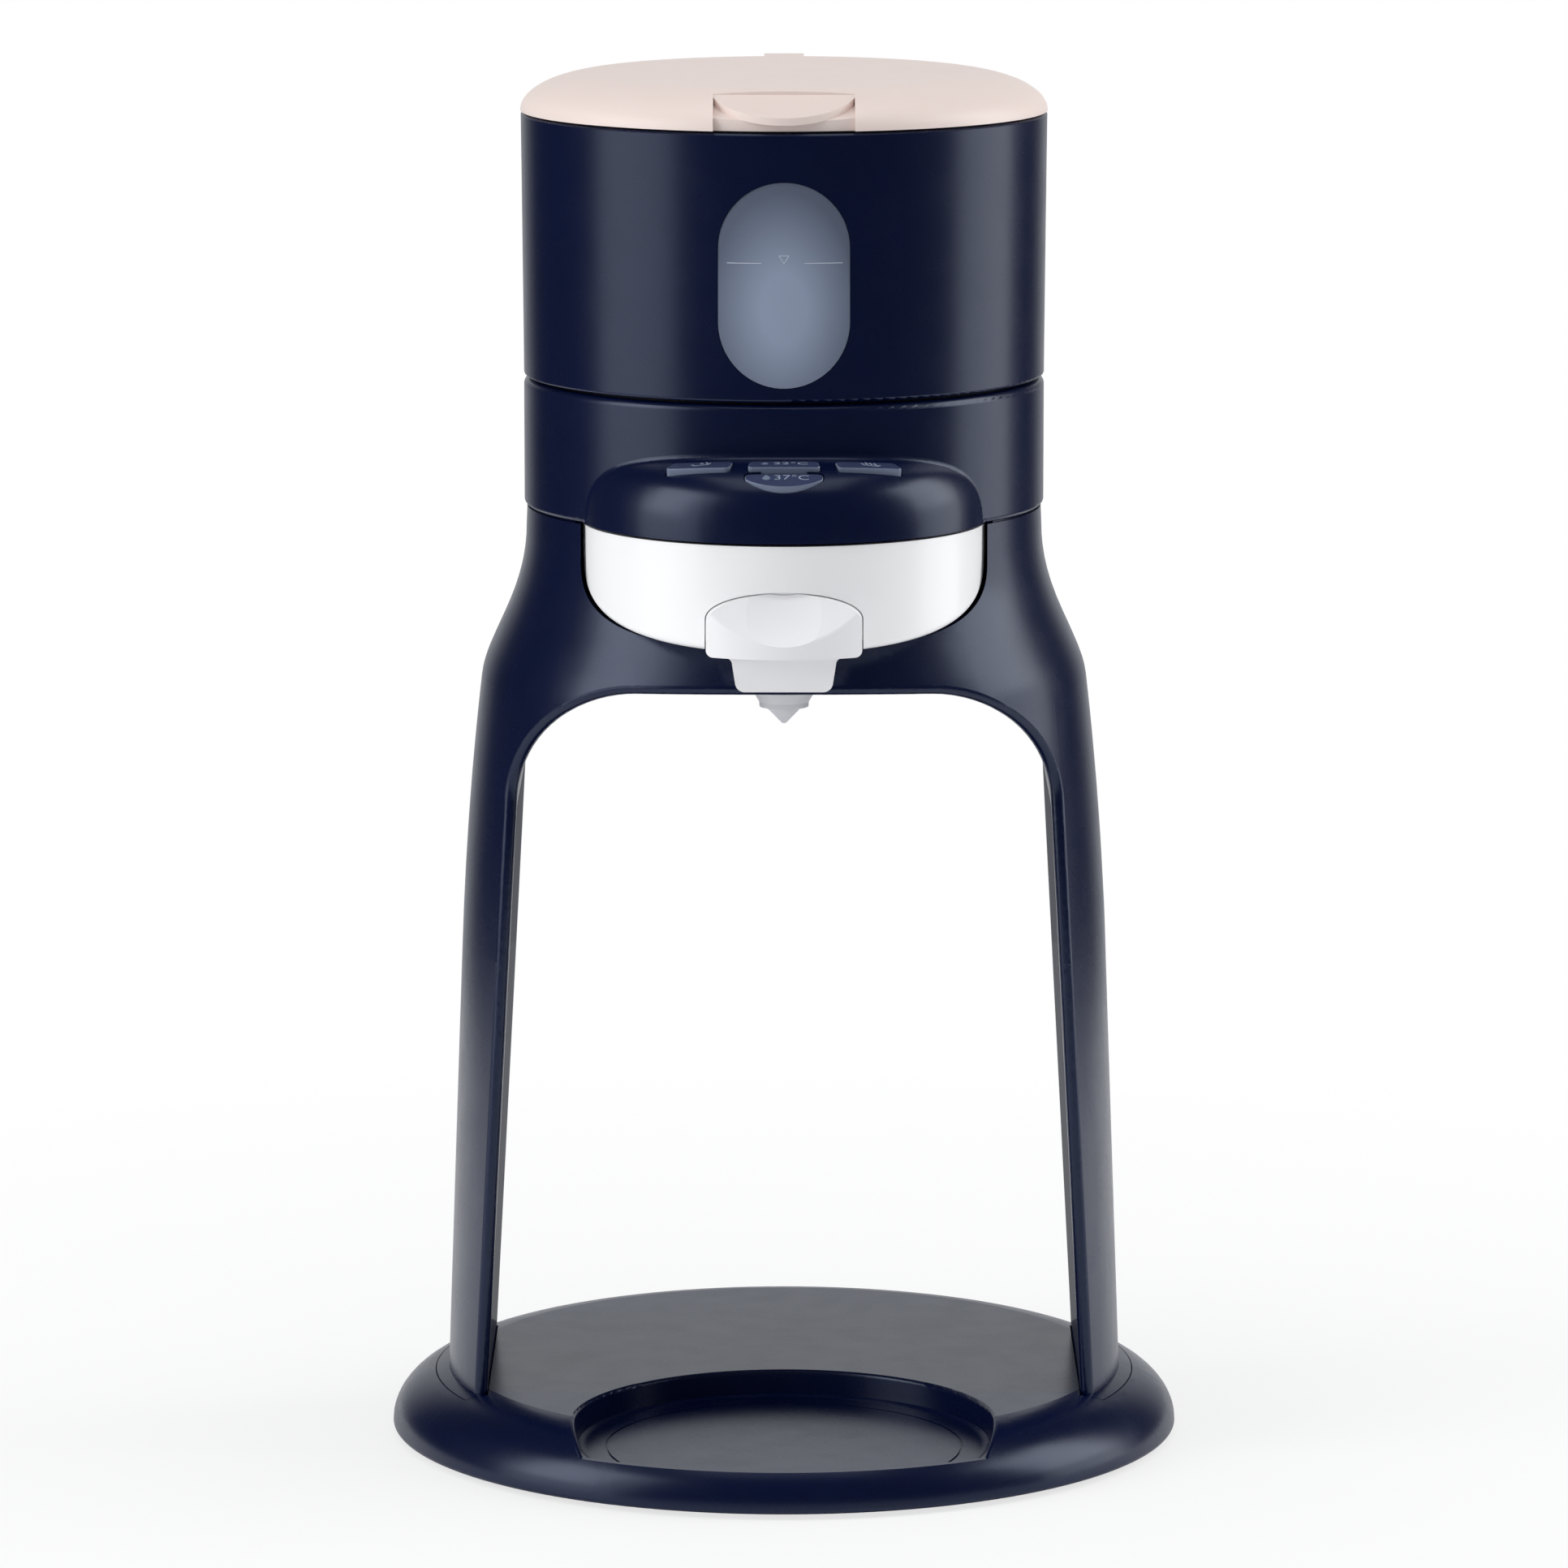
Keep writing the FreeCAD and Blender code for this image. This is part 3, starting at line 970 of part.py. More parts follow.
def reservoir():
    """The clear vessel inside the sleeve: window pane, spider and neck in one."""
    r, w = RESERVOIR_R, RESERVOIR_WALL
    vessel = cyl(r, RESERVOIR_Z0, RESERVOIR_TOP_Z).cut(cyl(r - w, RESERVOIR_FLOOR_Z, BIG))
    pane = window_solid(-WINDOW_GAP, -RESERVOIR_R + 6)
    pane = pane.common(cyl((TANK_R0 + TANK_R1) / 2 - 0.1, 0, BIG)).cut(cyl(r - w, 0, BIG))
    neck = cyl(VALVE_NECK_R, VALVE_NECK_Z, RESERVOIR_Z0 + 0.5, 0, VALVE_Y)
    body = join(vessel, pane, neck)
    body = body.cut(cyl(VALVE_BORE_R, 0, BIG, 0, VALVE_Y))
    spider = cyl(STEM_VALVE_R + 1.2, SPIDER_Z, SPIDER_Z + SPIDER_T, 0, VALVE_Y)
    for angle in (30, 150, 270):
        x, y = polar(VALVE_BORE_R + 0.5, angle)
        arm = box(0, VALVE_BORE_R + 0.5, -0.7, 0.7, SPIDER_Z, SPIDER_Z + SPIDER_T)
        arm.rotate(V(0, 0, 0), V(0, 0, 1), angle)
        arm.translate(V(0, VALVE_Y, 0))
        spider = join(spider, arm)
    body = join(body, spider)
    return body.cut(cyl(STEM_VALVE_R + VALVE_RUN, 0, BIG, 0, VALVE_Y))


def valve_poppet():
    """The tank's valve, held open by the socket's pin while the tank is seated."""
    z_disc = RESERVOIR_FLOOR_Z + VALVE_OPEN
    return join(cyl(POPPET_R, z_disc, z_disc + POPPET_T, 0, VALVE_Y),
                cyl(STEM_VALVE_R, CLIP_Z, z_disc + 0.5, 0, VALVE_Y),
                cyl(CLIP_R, CLIP_Z, CLIP_Z + CLIP_T, 0, VALVE_Y))


def valve_spring():
    """The light coil spring that closes the valve, round its stem."""
    z0, z1 = CLIP_Z + CLIP_T, SPIDER_Z
    wire_r, turns = 0.25, 2.5
    coil_r = STEM_VALVE_R + 0.75
    pitch = (z1 - z0 - 2 * wire_r) / turns
    path = Part.makeHelix(pitch, pitch * turns, coil_r)
    circle = Part.Wire(Part.makeCircle(wire_r, V(coil_r, 0, 0), V(0, 1, 0)))
    spring = Part.Wire(path).makePipeShell([circle], True, True)
    spring.translate(V(0, VALVE_Y, z0 + wire_r))
    return spring


def hinge_pin():
    x = KNUCKLE_HALF_W + EAR_GAP + EAR_W
    return rod(V(-x, HINGE_Y, HINGE_Z), V(x, HINGE_Y, HINGE_Z), HINGE_PIN_R)


# ---- lid --------------------------------------------------------------------------
def tongue_block(y_front, low, high, half):
    """A block across the thumb notch, between two depths below its sloping plane."""
    def plane(y, depth):
        return V(-half, y, TONGUE_BACK_Z - (TONGUE_BACK_Y - y) * TONGUE_DROP - depth)
    points = [plane(TONGUE_BACK_Y, low), plane(y_front, low),
              plane(y_front, high), plane(TONGUE_BACK_Y, high)]
    face = Part.Face(Part.makePolygon(points + points[:1]))
    return face.extrude(V(2 * half, 0, 0))


def lid():
    """The domed lid: skirt, front notch with its thumb tongue, and hinge knuckle."""
    half = LID_NOTCH_HALF_W
    notch = box(-half, half, -BIG, 0, 0, BIG).cut(cyl(LID_NOTCH_R, 0, BIG))
    y_out = -LID_R - 5
    round_plan = cyl(TONGUE_R, 0, BIG, 0, TONGUE_Y)
    step = tongue_block(y_out, TONGUE_T, 0, half).cut(round_plan)
    outer = lid_solid(0).cut([notch, tongue_block(y_out, 0, -30, half), step])
    tongue = tongue_block(y_out, TONGUE_T, 0, half)
    outer = join(outer, tongue.common(round_plan))
    dish_y = (TONGUE_BACK_Y + TONGUE_Y - TONGUE_R) / 2
    dish_z = TONGUE_BACK_Z - (TONGUE_BACK_Y - dish_y) * TONGUE_DROP - DISH_DEPTH
    outer = outer.cut(Part.makeSphere(DISH_R, V(0, dish_y - DISH_R * TONGUE_DROP,
                                                dish_z + DISH_R)))

    x0 = KNUCKLE_HALF_W + EAR_GAP + EAR_W + EAR_GAP
    y0 = HINGE_Y - KNUCKLE_R - 0.7
    behind = box(-half - LID_T, half + LID_T, -BIG, 0, 0, BIG)
    behind = behind.cut(cyl(LID_NOTCH_R - LID_T, 0, BIG))
    beside = box(-x0 - LID_T, x0 + LID_T, y0 - LID_T, BIG, 0, BIG)
    flange = tube(BIG, LID_SKIRT_R - LID_SKIRT_T, 0, LID_Z0 + LID_T)
    under = tongue_block(y_out, TONGUE_T + LID_T, -30, half + LID_T)
    hollow = lid_solid(LID_T).cut([behind, beside, flange, under])
    skirt = tube(LID_SKIRT_R, LID_SKIRT_R - LID_SKIRT_T, LID_SKIRT_Z, LID_Z0 + 0.5)
    body = join(outer.cut(hollow), skirt)
    body = body.cut(box(-x0, x0, y0, BIG, 0, BIG))
    knuckle = rod(V(-KNUCKLE_HALF_W, HINGE_Y, HINGE_Z), V(KNUCKLE_HALF_W, HINGE_Y, HINGE_Z),
                  KNUCKLE_R)
    arm = box(-KNUCKLE_HALF_W, KNUCKLE_HALF_W, y0 - 9, HINGE_Y + KNUCKLE_R,
              HINGE_Z, LID_TOP_Z - ARM_DROP)
    arm = round_edges(arm, KNUCKLE_R + 1, lambda e: middle(e).y > HINGE_Y + 1
                      and middle(e).z > HINGE_Z + 3 and e.BoundBox.ZLength < 0.01)
    body = join(body, knuckle, arm.cut(hollow))
    return body.cut(rod(V(-x0, HINGE_Y, HINGE_Z), V(x0, HINGE_Y, HINGE_Z),
                        HINGE_PIN_R + HINGE_RUN))


def lid_gasket():
    """The flat silicone ring under the lid, over the reservoir's rim."""
    return tube(RESERVOIR_R, LID_SKIRT_R + 0.02, RESERVOIR_TOP_Z + GASKET_GAP, LID_Z0)


# ---- powder drawer ----------------------------------------------------------------
def powder_bowl():
    """The white powder bowl: round in plan, with a keeled underside and an outlet."""
    body = cyl(DRAWER_R, 0, BIG, 0, HOOD_Y)
    body = body.common(drawer_outline(0, 0, DRAWER_KEEL_Z, DRAWER_TOP_Z).along_y(-BIG, BIG))

    def under(edge):
        point = middle(edge)
        on_side = abs(math.hypot(point.x, point.y - HOOD_Y) - DRAWER_R) < 0.05
        return on_side and point.z < DRAWER_SIDE_Z - 2 and edge.BoundBox.ZLength > 0.5
    body = round_edges(body, DRAWER_EDGE_R, under)

    room = cyl(DRAWER_R - DRAWER_WALL, 0, BIG, 0, HOOD_Y)
    room = room.common(drawer_outline(-DRAWER_WALL, 0, DRAWER_FLOOR_Z, BIG).along_y(-BIG, BIG))
    body = body.cut(room)
    body = body.cut(cyl(OUTLET_R, 0, BIG, 0, NOZZLE_Y))
    g = CARRIER_GAP
    recess = box(-CARRIER_HALF_W - g, CARRIER_HALF_W + g, -BIG, CARRIER_BACK_Y + g,
                 0, DRAWER_KEEL_Z + CARRIER_T + g)
    body = body.cut(recess)
    seat = tab_outline(g).along_y(-BIG, HOOD_Y).cut(cyl(DRAWER_R - TAB_SINK - g, 0, BIG, 0, HOOD_Y))
    return body.cut(seat)


def tab_outline(grow):
    """The tab seen from the front: upright sides under a half ellipse."""
    half = CARRIER_HALF_W + grow
    outline = Outline(-half, TAB_BOTTOM_Z - grow - 2).line(half, TAB_BOTTOM_Z - grow - 2)
    outline.ellipse(0, TAB_SIDE_Z, half, TAB_TOP_Z - TAB_SIDE_Z + grow, 0, math.pi)
    return outline


def spout_carrier():
    """The pull tab, the apron under it and the tongue that carries the outlet."""
    tongue = box(-CARRIER_HALF_W, CARRIER_HALF_W, HOOD_Y - DRAWER_R + 1, CARRIER_BACK_Y,
                 0, DRAWER_KEEL_Z + CARRIER_T)
    tongue = tongue.common(drawer_outline(0, 0, DRAWER_KEEL_Z, BIG).along_y(-BIG, BIG))
    tongue = tongue.cut(cyl(OUTLET_R, 0, BIG, 0, NOZZLE_Y))

    sag = TAB_SIDE_Y - TAB_FRONT_Y
    front_r = (CARRIER_HALF_W ** 2 + sag ** 2) / (2 * sag)
    front_y = TAB_FRONT_Y + front_r
    tab = tab_outline(0).along_y(-BIG, HOOD_Y)
    tab = tab.common(cyl(front_r, TAB_BOTTOM_Z, BIG, 0, front_y))
    tab = round_edges(tab, TAB_CORNER_R, lambda e: e.BoundBox.YLength > 20
                      and abs(middle(e).z - TAB_BOTTOM_Z) < 0.01)
    wall_y = HOOD_Y - DRAWER_R
    bulge_y, bulge_z = (wall_y + TAB_FRONT_Y) / 2 + 0.8, (TAB_TOP_Z + TAB_LIP_Z) / 2 + 0.5
    over = Part.Face(Part.Wire([
        Part.Arc(V(0, wall_y + 0.6, TAB_TOP_Z), V(0, bulge_y, bulge_z),
                 V(0, TAB_FRONT_Y, TAB_LIP_Z)).toShape(),
        Part.LineSegment(V(0, TAB_FRONT_Y, TAB_LIP_Z), V(0, -BIG, TAB_LIP_Z)).toShape(),
        Part.LineSegment(V(0, -BIG, TAB_LIP_Z), V(0, -BIG, BIG)).toShape(),
        Part.LineSegment(V(0, -BIG, BIG), V(0, wall_y + 0.6, BIG)).toShape(),
        Part.LineSegment(V(0, wall_y + 0.6, BIG), V(0, wall_y + 0.6, TAB_TOP_Z)).toShape()]))
    over.translate(V(-BIG, 0, 0))
    tab = tab.cut(over.extrude(V(2 * BIG, 0, 0)))

    def smile(edge):
        point = middle(edge)
        on_front = abs(math.hypot(point.x, point.y - front_y) - front_r) < 0.05
        return on_front and point.z > TAB_BOTTOM_Z + 1 and edge.BoundBox.XLength > 10
    tab = round_edges(tab, TAB_EDGE_R, smile)
    tab = tab.cut(cyl(DRAWER_R - TAB_SINK, 0, BIG, 0, HOOD_Y))
    slope = math.atan2(TAB_TOP_Z - TAB_LIP_Z, wall_y + 0.6 - TAB_FRONT_Y)
    dish_up = TAB_DISH_R - TAB_DISH_DEPTH
    tab = tab.cut(Part.makeSphere(TAB_DISH_R, V(0, bulge_y - dish_up * math.sin(slope),
                                                bulge_z + dish_up * math.cos(slope))))

    z0, z1, r = APRON_Z, TAB_BOTTOM_Z, APRON_FLARE_R
    x0, x1, s = APRON_FOOT_HALF_W, APRON_TOP_HALF_W, APRON_FLARE_R * (1 - math.sqrt(0.5))
    apron = Outline(-x0, z0).line(x0, z0).line(x1, z1 - r).arc(x1 + s, z1 - s, x1 + r, z1)
    apron.line(x1 + r, z1 + 0.5).line(-x1 - r, z1 + 0.5).line(-x1 - r, z1)
    apron = apron.arc(-x1 - s, z1 - s, -x1, z1 - r).along_y(APRON_Y0, APRON_Y1)
    apron = round_edges(apron, APRON_CORNER_R, lambda e: middle(e).z < APRON_Z + 0.01
                        and e.BoundBox.XLength < 0.01)
    return join(tongue, tab, apron)


def silicone_nozzle():
    """The soft outlet: a cup on the arch's ceiling, a collar and a slit cone below it."""
    z_top, z_under = ARCH_TOP_Z + FRAME_WALL, ARCH_TOP_Z
    r, w = NOZZLE_HOLE_R - 0.1, NOZZLE_WALL
    tip = NOZZLE_TIP_Z
    outline = Outline(0, tip).line(0.5, tip)
    outline.bezier((2.6, tip + 2.2), (3.8, tip + 3.4)).line(5.6, tip + 3.9)
    outline.line(5.7, tip + 5.0)
    outline.bezier((6.2, tip + 5.8), (r, z_under - 2.0)).line(r, z_top)
    outline.line(NOZZLE_CUP_R, z_top).line(NOZZLE_CUP_R, NOZZLE_CUP_Z)
    outline.line(NOZZLE_CUP_R - w, NOZZLE_CUP_Z).line(NOZZLE_CUP_R - w, z_top + w)
    outline.line(r - w, z_top).line(4.2, tip + 5.2).line(0, tip + 2.0)
    return outline.spin(0, NOZZLE_Y)


def drawer_runners():
    """Two runners on the arch's ceiling that carry the drawer."""
    runners = []
    for side in (-1, 1):
        x = side * RUNNER_X
        bar = box(x - RUNNER_T / 2, x + RUNNER_T / 2, RUNNER_Y0, RUNNER_Y1,
                  ARCH_TOP_Z - 2, DRAWER_SIDE_Z)
        bar = bar.cut(drawer_outline(RUN_GAP, 0, DRAWER_KEEL_Z - RUN_GAP, BIG).along_y(-BIG, BIG))
        runners.append(bar.cut(arch_solid(FRAME_WALL)))
    return Part.makeCompound(runners)


def main():
    os.makedirs("parts", exist_ok=True)
    save("base_shell", base_shell())
    save("base_cover", base_cover())
    save("rubber_feet", rubber_feet())
    save("cover_screws", cover_screws())
    save("leg_screws", leg_screws())
    save("leg_frame", leg_frame())
    liner = liner_plate(0)
    save("leg_liner_right", liner)
    save("leg_liner_left", mirror_x(liner))
    save("head_housing", head_housing())
    save("head_chassis", head_chassis())
    save("head_deck", head_deck())
    save("deck_screws", deck_screws())
    save("spray_head", spray_head())
    save("mixing_gasket", mixing_gasket())
    save("inlet_socket", inlet_socket())
    save("inlet_seal", inlet_seal())
    save("button_guide", button_guide())
    save("control_board", control_board())
    for name in button_plans():
        save(name, button(name))
    save("pump", pump())
    save("heater", heater())
    save("water_hoses", water_hoses())
    save("power_board", power_board())
    save("cable_entry", cable_entry())
    save("drawer_runners", drawer_runners())
    save("silicone_nozzle", silicone_nozzle())
    save("powder_bowl", powder_bowl())
    save("spout_carrier", spout_carrier())
    save("tank_shell", tank_shell())
    save("reservoir", reservoir())
    save("valve_poppet", valve_poppet())
    save("valve_spring", valve_spring())
    save("hinge_pin", hinge_pin())
    save("lid", lid())
    save("lid_gasket", lid_gasket())


main()
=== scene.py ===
# %% [markdown]
# Baby formula maker: the looks
#
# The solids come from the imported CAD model, in metres, with the machine standing on Z = 0 and
# its front towards -Y. This script gives every solid its finish, adds the fine printed marks
# that are too thin for the CAD model, and sets up the floor, the lamps and the camera.

# %% Load the frame
import math

import bpy
import numpy as np
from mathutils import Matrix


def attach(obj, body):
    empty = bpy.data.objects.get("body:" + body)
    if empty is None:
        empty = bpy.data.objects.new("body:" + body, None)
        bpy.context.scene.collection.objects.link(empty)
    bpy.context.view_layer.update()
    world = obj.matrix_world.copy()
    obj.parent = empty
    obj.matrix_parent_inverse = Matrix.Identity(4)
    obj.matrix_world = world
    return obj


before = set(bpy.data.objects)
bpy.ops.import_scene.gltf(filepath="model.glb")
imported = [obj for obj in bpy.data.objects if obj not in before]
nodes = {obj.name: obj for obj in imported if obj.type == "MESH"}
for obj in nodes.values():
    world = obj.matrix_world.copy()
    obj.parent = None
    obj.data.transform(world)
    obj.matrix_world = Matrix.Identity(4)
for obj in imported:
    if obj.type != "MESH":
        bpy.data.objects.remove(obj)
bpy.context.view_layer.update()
MM = 0.001

# %% [markdown]
# The camera
#
# The machine is seen from the front and a little from above, through a long lens, so its sides
# stay almost upright. A long lens far away gives that look, and a short one near by would make
# the round base bulge.

# %% Camera
CAMERA_DISTANCE = 1.950
CAMERA_HEIGHT = 0.4787
CAMERA_DIP = 0.165          # radians below level
FOCAL_SHARE = 10376 / 1932  # focal length as a share of the frame's width
SENSOR_WIDTH = 36.0         # millimetres

camera_data = bpy.data.cameras.new("front_camera")
camera_data.sensor_width = SENSOR_WIDTH
camera_data.lens = SENSOR_WIDTH * FOCAL_SHARE
camera_data.clip_start = 0.1
camera_data.clip_end = 30.0
camera = bpy.data.objects.new("front_camera", camera_data)
camera.location = (0.0, -CAMERA_DISTANCE, CAMERA_HEIGHT)
camera.rotation_euler = (math.pi / 2 - CAMERA_DIP, 0.0, 0.0)
bpy.context.scene.collection.objects.link(camera)
bpy.context.scene.camera = camera
bpy.context.scene.view_settings.view_transform = "Standard"
print("lens", round(camera_data.lens, 2), "mm")

# %% [markdown]
# Node helpers
#
# Every finish here is a small tree of shader nodes. Moulded plastic is never one even colour: the
# resin has faint clouds in it, the mould leaves a fine grain, and hands leave places that are a
# little shinier. A painted image could show that, but every piece would have to be unwrapped for
# it. A noise in object coordinates needs no unwrapping, and a few small helpers turn it into what
# a shader reads: its values spread over a range, a mix of two colours, and a bump.

# %% Helpers for the shader trees
def new_finish(name):
    """A material with its principled shader: returns the material, its node tree and the shader."""
    finish = bpy.data.materials.new(name)
    finish.use_nodes = True
    tree = finish.node_tree
    return finish, tree, tree.nodes["Principled BSDF"]


def tune(shader, values):
    """Sets several of a shader's inputs by name."""
    for name, value in values.items():
        shader.inputs[name].default_value = value


def pattern(tree, cell_mm, detail=2.0):
    """Noise in object coordinates; its scale is one over the size of a cell, cell_mm."""
    place = tree.nodes.new("ShaderNodeTexCoord")
    noise = tree.nodes.new("ShaderNodeTexNoise")
    noise.inputs["Scale"].default_value = 1.0 / (cell_mm * MM)
    noise.inputs["Detail"].default_value = detail
    tree.links.new(place.outputs["Object"], noise.inputs["Vector"])
    return noise.outputs["Fac"]


def spread(tree, value, low, high, start=0.3, end=0.7):
    """Maps a value from start..end onto low..high, in a straight line with both ends held."""
    ranger = tree.nodes.new("ShaderNodeMapRange")
    tune(ranger, {"From Min": start, "From Max": end, "To Min": low, "To Max": high})
    tree.links.new(value, ranger.inputs["Value"])
    return ranger.outputs["Result"]


def two_tone(tree, share, first, second):
    """Mixes two colours by a share from 0 to 1."""
    mixer = tree.nodes.new("ShaderNodeMix")
    mixer.data_type = "RGBA"
    mixer.inputs["A"].default_value = (*first, 1.0)
    mixer.inputs["B"].default_value = (*second, 1.0)
    tree.links.new(share, mixer.inputs["Factor"])
    return mixer.outputs["Result"]


def bump(tree, shader, height, depth_mm):
    """Tilts the shader's normal by a height pattern that is depth_mm deep."""
    node = tree.nodes.new("ShaderNodeBump")
    tune(node, {"Strength": 1.0, "Distance": depth_mm * MM})
    tree.links.new(height, node.inputs["Height"])
    tree.links.new(node.outputs["Normal"], shader.inputs["Normal"])


def srgb(red, green, blue):
    """A colour given in 0 to 255 screen values, turned into the linear values of a shader."""
    screen = np.array([red, green, blue]) / 255.0
    linear = np.where(screen <= 0.04045, screen / 12.92, ((screen + 0.055) / 1.055) ** 2.4)
    return tuple(float(part) for part in linear)


print("helpers ready")

# %% [markdown]
# Moulded plastic
#
# Most of the machine is moulded: the navy housings, the pink lid, the white drawer and the grey
# and black pieces inside. They differ in colour, in gloss and in how coarse the mould's grain is,
# so one function makes them all from those few numbers. A wide, faint cloud shifts the colour, a
# middle-sized one shifts the roughness as handling does, and the fine grain is a bump.
#
# The navy reflects with a bluish tint, as the dyed resin does, so its soft bands of light stay
# blue and don't turn grey.

# %% One function for the moulded plastics
CLOUD_MM = 26.0             # size of the clouds in the resin's colour
HANDLED_MM = 9.0            # size of the places that handling has polished


def mould_surface(tree, shader, rough, rough_shift, grain_mm, grain_depth_mm):
    """Surface of a moulding: roughness of rough +- rough_shift, and a fine grain as a bump."""
    wear = spread(tree, pattern(tree, HANDLED_MM, 4.0), rough - rough_shift, rough + rough_shift)
    tree.links.new(wear, shader.inputs["Roughness"])
    bump(tree, shader, pattern(tree, grain_mm), grain_depth_mm)


def moulded(name, colour, tone, rough, rough_shift, grain_mm, grain_depth_mm):
    """Plastic: clouds between the colour and the colour times tone, with a mould's surface."""
    finish, tree, shader = new_finish(name)
    cloud = spread(tree, pattern(tree, CLOUD_MM, 3.0), 0.0, 1.0)
    shade = tuple(part * tone for part in colour)
    tree.links.new(two_tone(tree, cloud, colour, shade), shader.inputs["Base Color"])
    mould_surface(tree, shader, rough, rough_shift, grain_mm, grain_depth_mm)
    return finish, shader


navy_satin, navy_shader = moulded("navy_satin", srgb(3, 12, 45), 1.12, 0.27, 0.015, 0.32, 0.0014)
tune(navy_shader, {"IOR": 1.5, "Specular IOR Level": 0.55,
                   "Specular Tint": (0.70, 0.80, 1.0, 1.0)})
print("navy_satin made")

# %% [markdown]
# Glossy liners
#
# The inner faces of the two legs are lined with polished strips of the same navy resin. A low
# roughness alone would make them too bright. So the resin itself reflects nothing, and a thin
# clear coat over it gives a sharp but dark reflection. The strips then look deeper than the
# satin legs round them.

# %% Glossy navy of the leg liners
navy_gloss, liner_shader = moulded("navy_gloss", srgb(10, 18, 48), 1.1, 0.30, 0.02, 2.5, 0.0008)
tune(liner_shader, {"Specular IOR Level": 0.0, "Specular Tint": (0.80, 0.87, 1.0, 1.0),
                    "Coat Weight": 0.17, "Coat Roughness": 0.06})
print("navy_gloss made")

# %% [markdown]
# White drawer
#
# The powder bowl is white with a light gloss. The carrier with its pull tab is a hair greyer and
# has no gloss coat, because its mould has a fine spark finish. Both vary very little, because a
# cloud that would be faint on a dark piece looks like a smudge on a white one.

# %% White bowl and carrier
bowl_white, bowl_shader = moulded(
    "bowl_white", srgb(250, 250, 251), 0.996, 0.30, 0.012, 3.0, 0.0004)
tune(bowl_shader, {"Coat Weight": 0.15, "Coat Roughness": 0.08})
carrier_white, _ = moulded("carrier_white", srgb(248, 247, 249), 0.995, 0.30, 0.012, 0.4, 0.001)
print("bowl_white and carrier_white made")

# %% [markdown]
# Lid
#
# The lid is a pale powder pink with a soft satin surface. Thin light plastic lets a little light
# in and out again, which softens its shadows, so a small share of subsurface scattering is set.

# %% Pink of the lid
SCATTER_SCALE = 0.5         # the reach of light inside a plastic is its radius times this


def scatter(shader, weight, radius):
    """Lets a share of the light into the plastic; radius is in metres, for red, green and blue."""
    tune(shader, {"Subsurface Weight": weight, "Subsurface Radius": radius,
                  "Subsurface Scale": SCATTER_SCALE})


lid_pink, lid_shader = moulded("lid_pink", srgb(238, 221, 214), 0.985, 0.42, 0.03, 0.35, 0.002)
scatter(lid_shader, 0.12, (0.004, 0.003, 0.0025))
print("lid_pink made")

# %% [markdown]
# Frosted reservoir
#
# The water reservoir is a cup of smoke-blue plastic whose frosted front shows in the tank's
# window. Frosting scatters the light at the surface, so the finish is rough, with a small share
# of light going through and the rest coming back as a milky blue. The pane's colour has painted
# light in its middle, where most light comes through, and painted shade towards its rim.

# %% Frosted plastic of the reservoir
# the pane's painted light is centred here and turns into painted shade over the reach
PANE_MIDDLE = (0.0, 0.0, 0.2725)        # metres: the palest place of the pane
PANE_REACH = (0.0145, 1000.0, 0.0230)   # about half its width and height; depth doesn't count


def vector_step(tree, operation, vector, other=None):
    """One step of arithmetic on a vector, alone or with a constant vector."""
    node = tree.nodes.new("ShaderNodeVectorMath")
    node.operation = operation
    tree.links.new(vector, node.inputs[0])
    if other is not None:
        node.inputs[1].default_value = other
    return node


def window_finish():
    """Pane: painted light to painted shade by the length of the run from its middle, over its
    reach.
    """
    finish, tree, shader = new_finish("window_frost")
    place = tree.nodes.new("ShaderNodeTexCoord")
    run = vector_step(tree, "SUBTRACT", place.outputs["Object"], PANE_MIDDLE)
    share = vector_step(tree, "DIVIDE", run.outputs["Vector"], PANE_REACH)
    length = vector_step(tree, "LENGTH", share.outputs["Vector"])
    painted_shade_share = spread(tree, length.outputs["Value"], 0.0, 1.0, 0.35, 1.15)
    # painted light: paler colour in the pane's middle; painted shade: darker colour towards its rim
    painted_lit_middle, painted_shaded_rim = srgb(156, 169, 194), srgb(96, 106, 128)
    tree.links.new(two_tone(tree, painted_shade_share, painted_lit_middle, painted_shaded_rim), shader.inputs["Base Color"])
    mould_surface(tree, shader, 0.46, 0.03, 0.28, 0.004)
    tune(shader, {"Transmission Weight": 0.15, "IOR": 1.49})
    scatter(shader, 0.2, (0.003, 0.004, 0.006))
    return finish


window_frost = window_finish()
print("window_frost made")

# %% [markdown]
# Button caps
#
# The caps are moulded in a translucent grey-blue and painted slate on top, so their sides glow
# paler than their tops. The share of paint follows how squarely the surface faces out of the
# sloping panel: one on the top, falling off over the rounded edge.

# %% Painted tops and paler sides of the caps
PANEL_SLOPE = math.radians(24.0)
PANEL_OUT = (0.0, -math.sin(PANEL_SLOPE), math.cos(PANEL_SLOPE))
PAINT_STARTS, PAINT_FULL = 0.80, 0.93   # cosine of the angle between surface and panel


def cap_finish():
    """Cap: its side colour, and slate where the normal follows the panel's own."""
    finish, tree, shader = new_finish("cap_slate")
    facing = tree.nodes.new("ShaderNodeNewGeometry")
    along = vector_step(tree, "DOT_PRODUCT", facing.outputs["True Normal"], PANEL_OUT)
    paint = spread(tree, along.outputs["Value"], 0.0, 1.0, PAINT_STARTS, PAINT_FULL)
    side, top = srgb(108, 119, 142), srgb(50, 60, 92)
    tree.links.new(two_tone(tree, paint, side, top), shader.inputs["Base Color"])
    wear = spread(tree, pattern(tree, 3.0, 3.0), 0.40, 0.48)
    tree.links.new(wear, shader.inputs["Roughness"])
    bump(tree, shader, pattern(tree, 0.3), 0.002)
    scatter(shader, 0.15, (0.001, 0.0012, 0.0015))
    return finish


cap_slate = cap_finish()
print("cap_slate made")

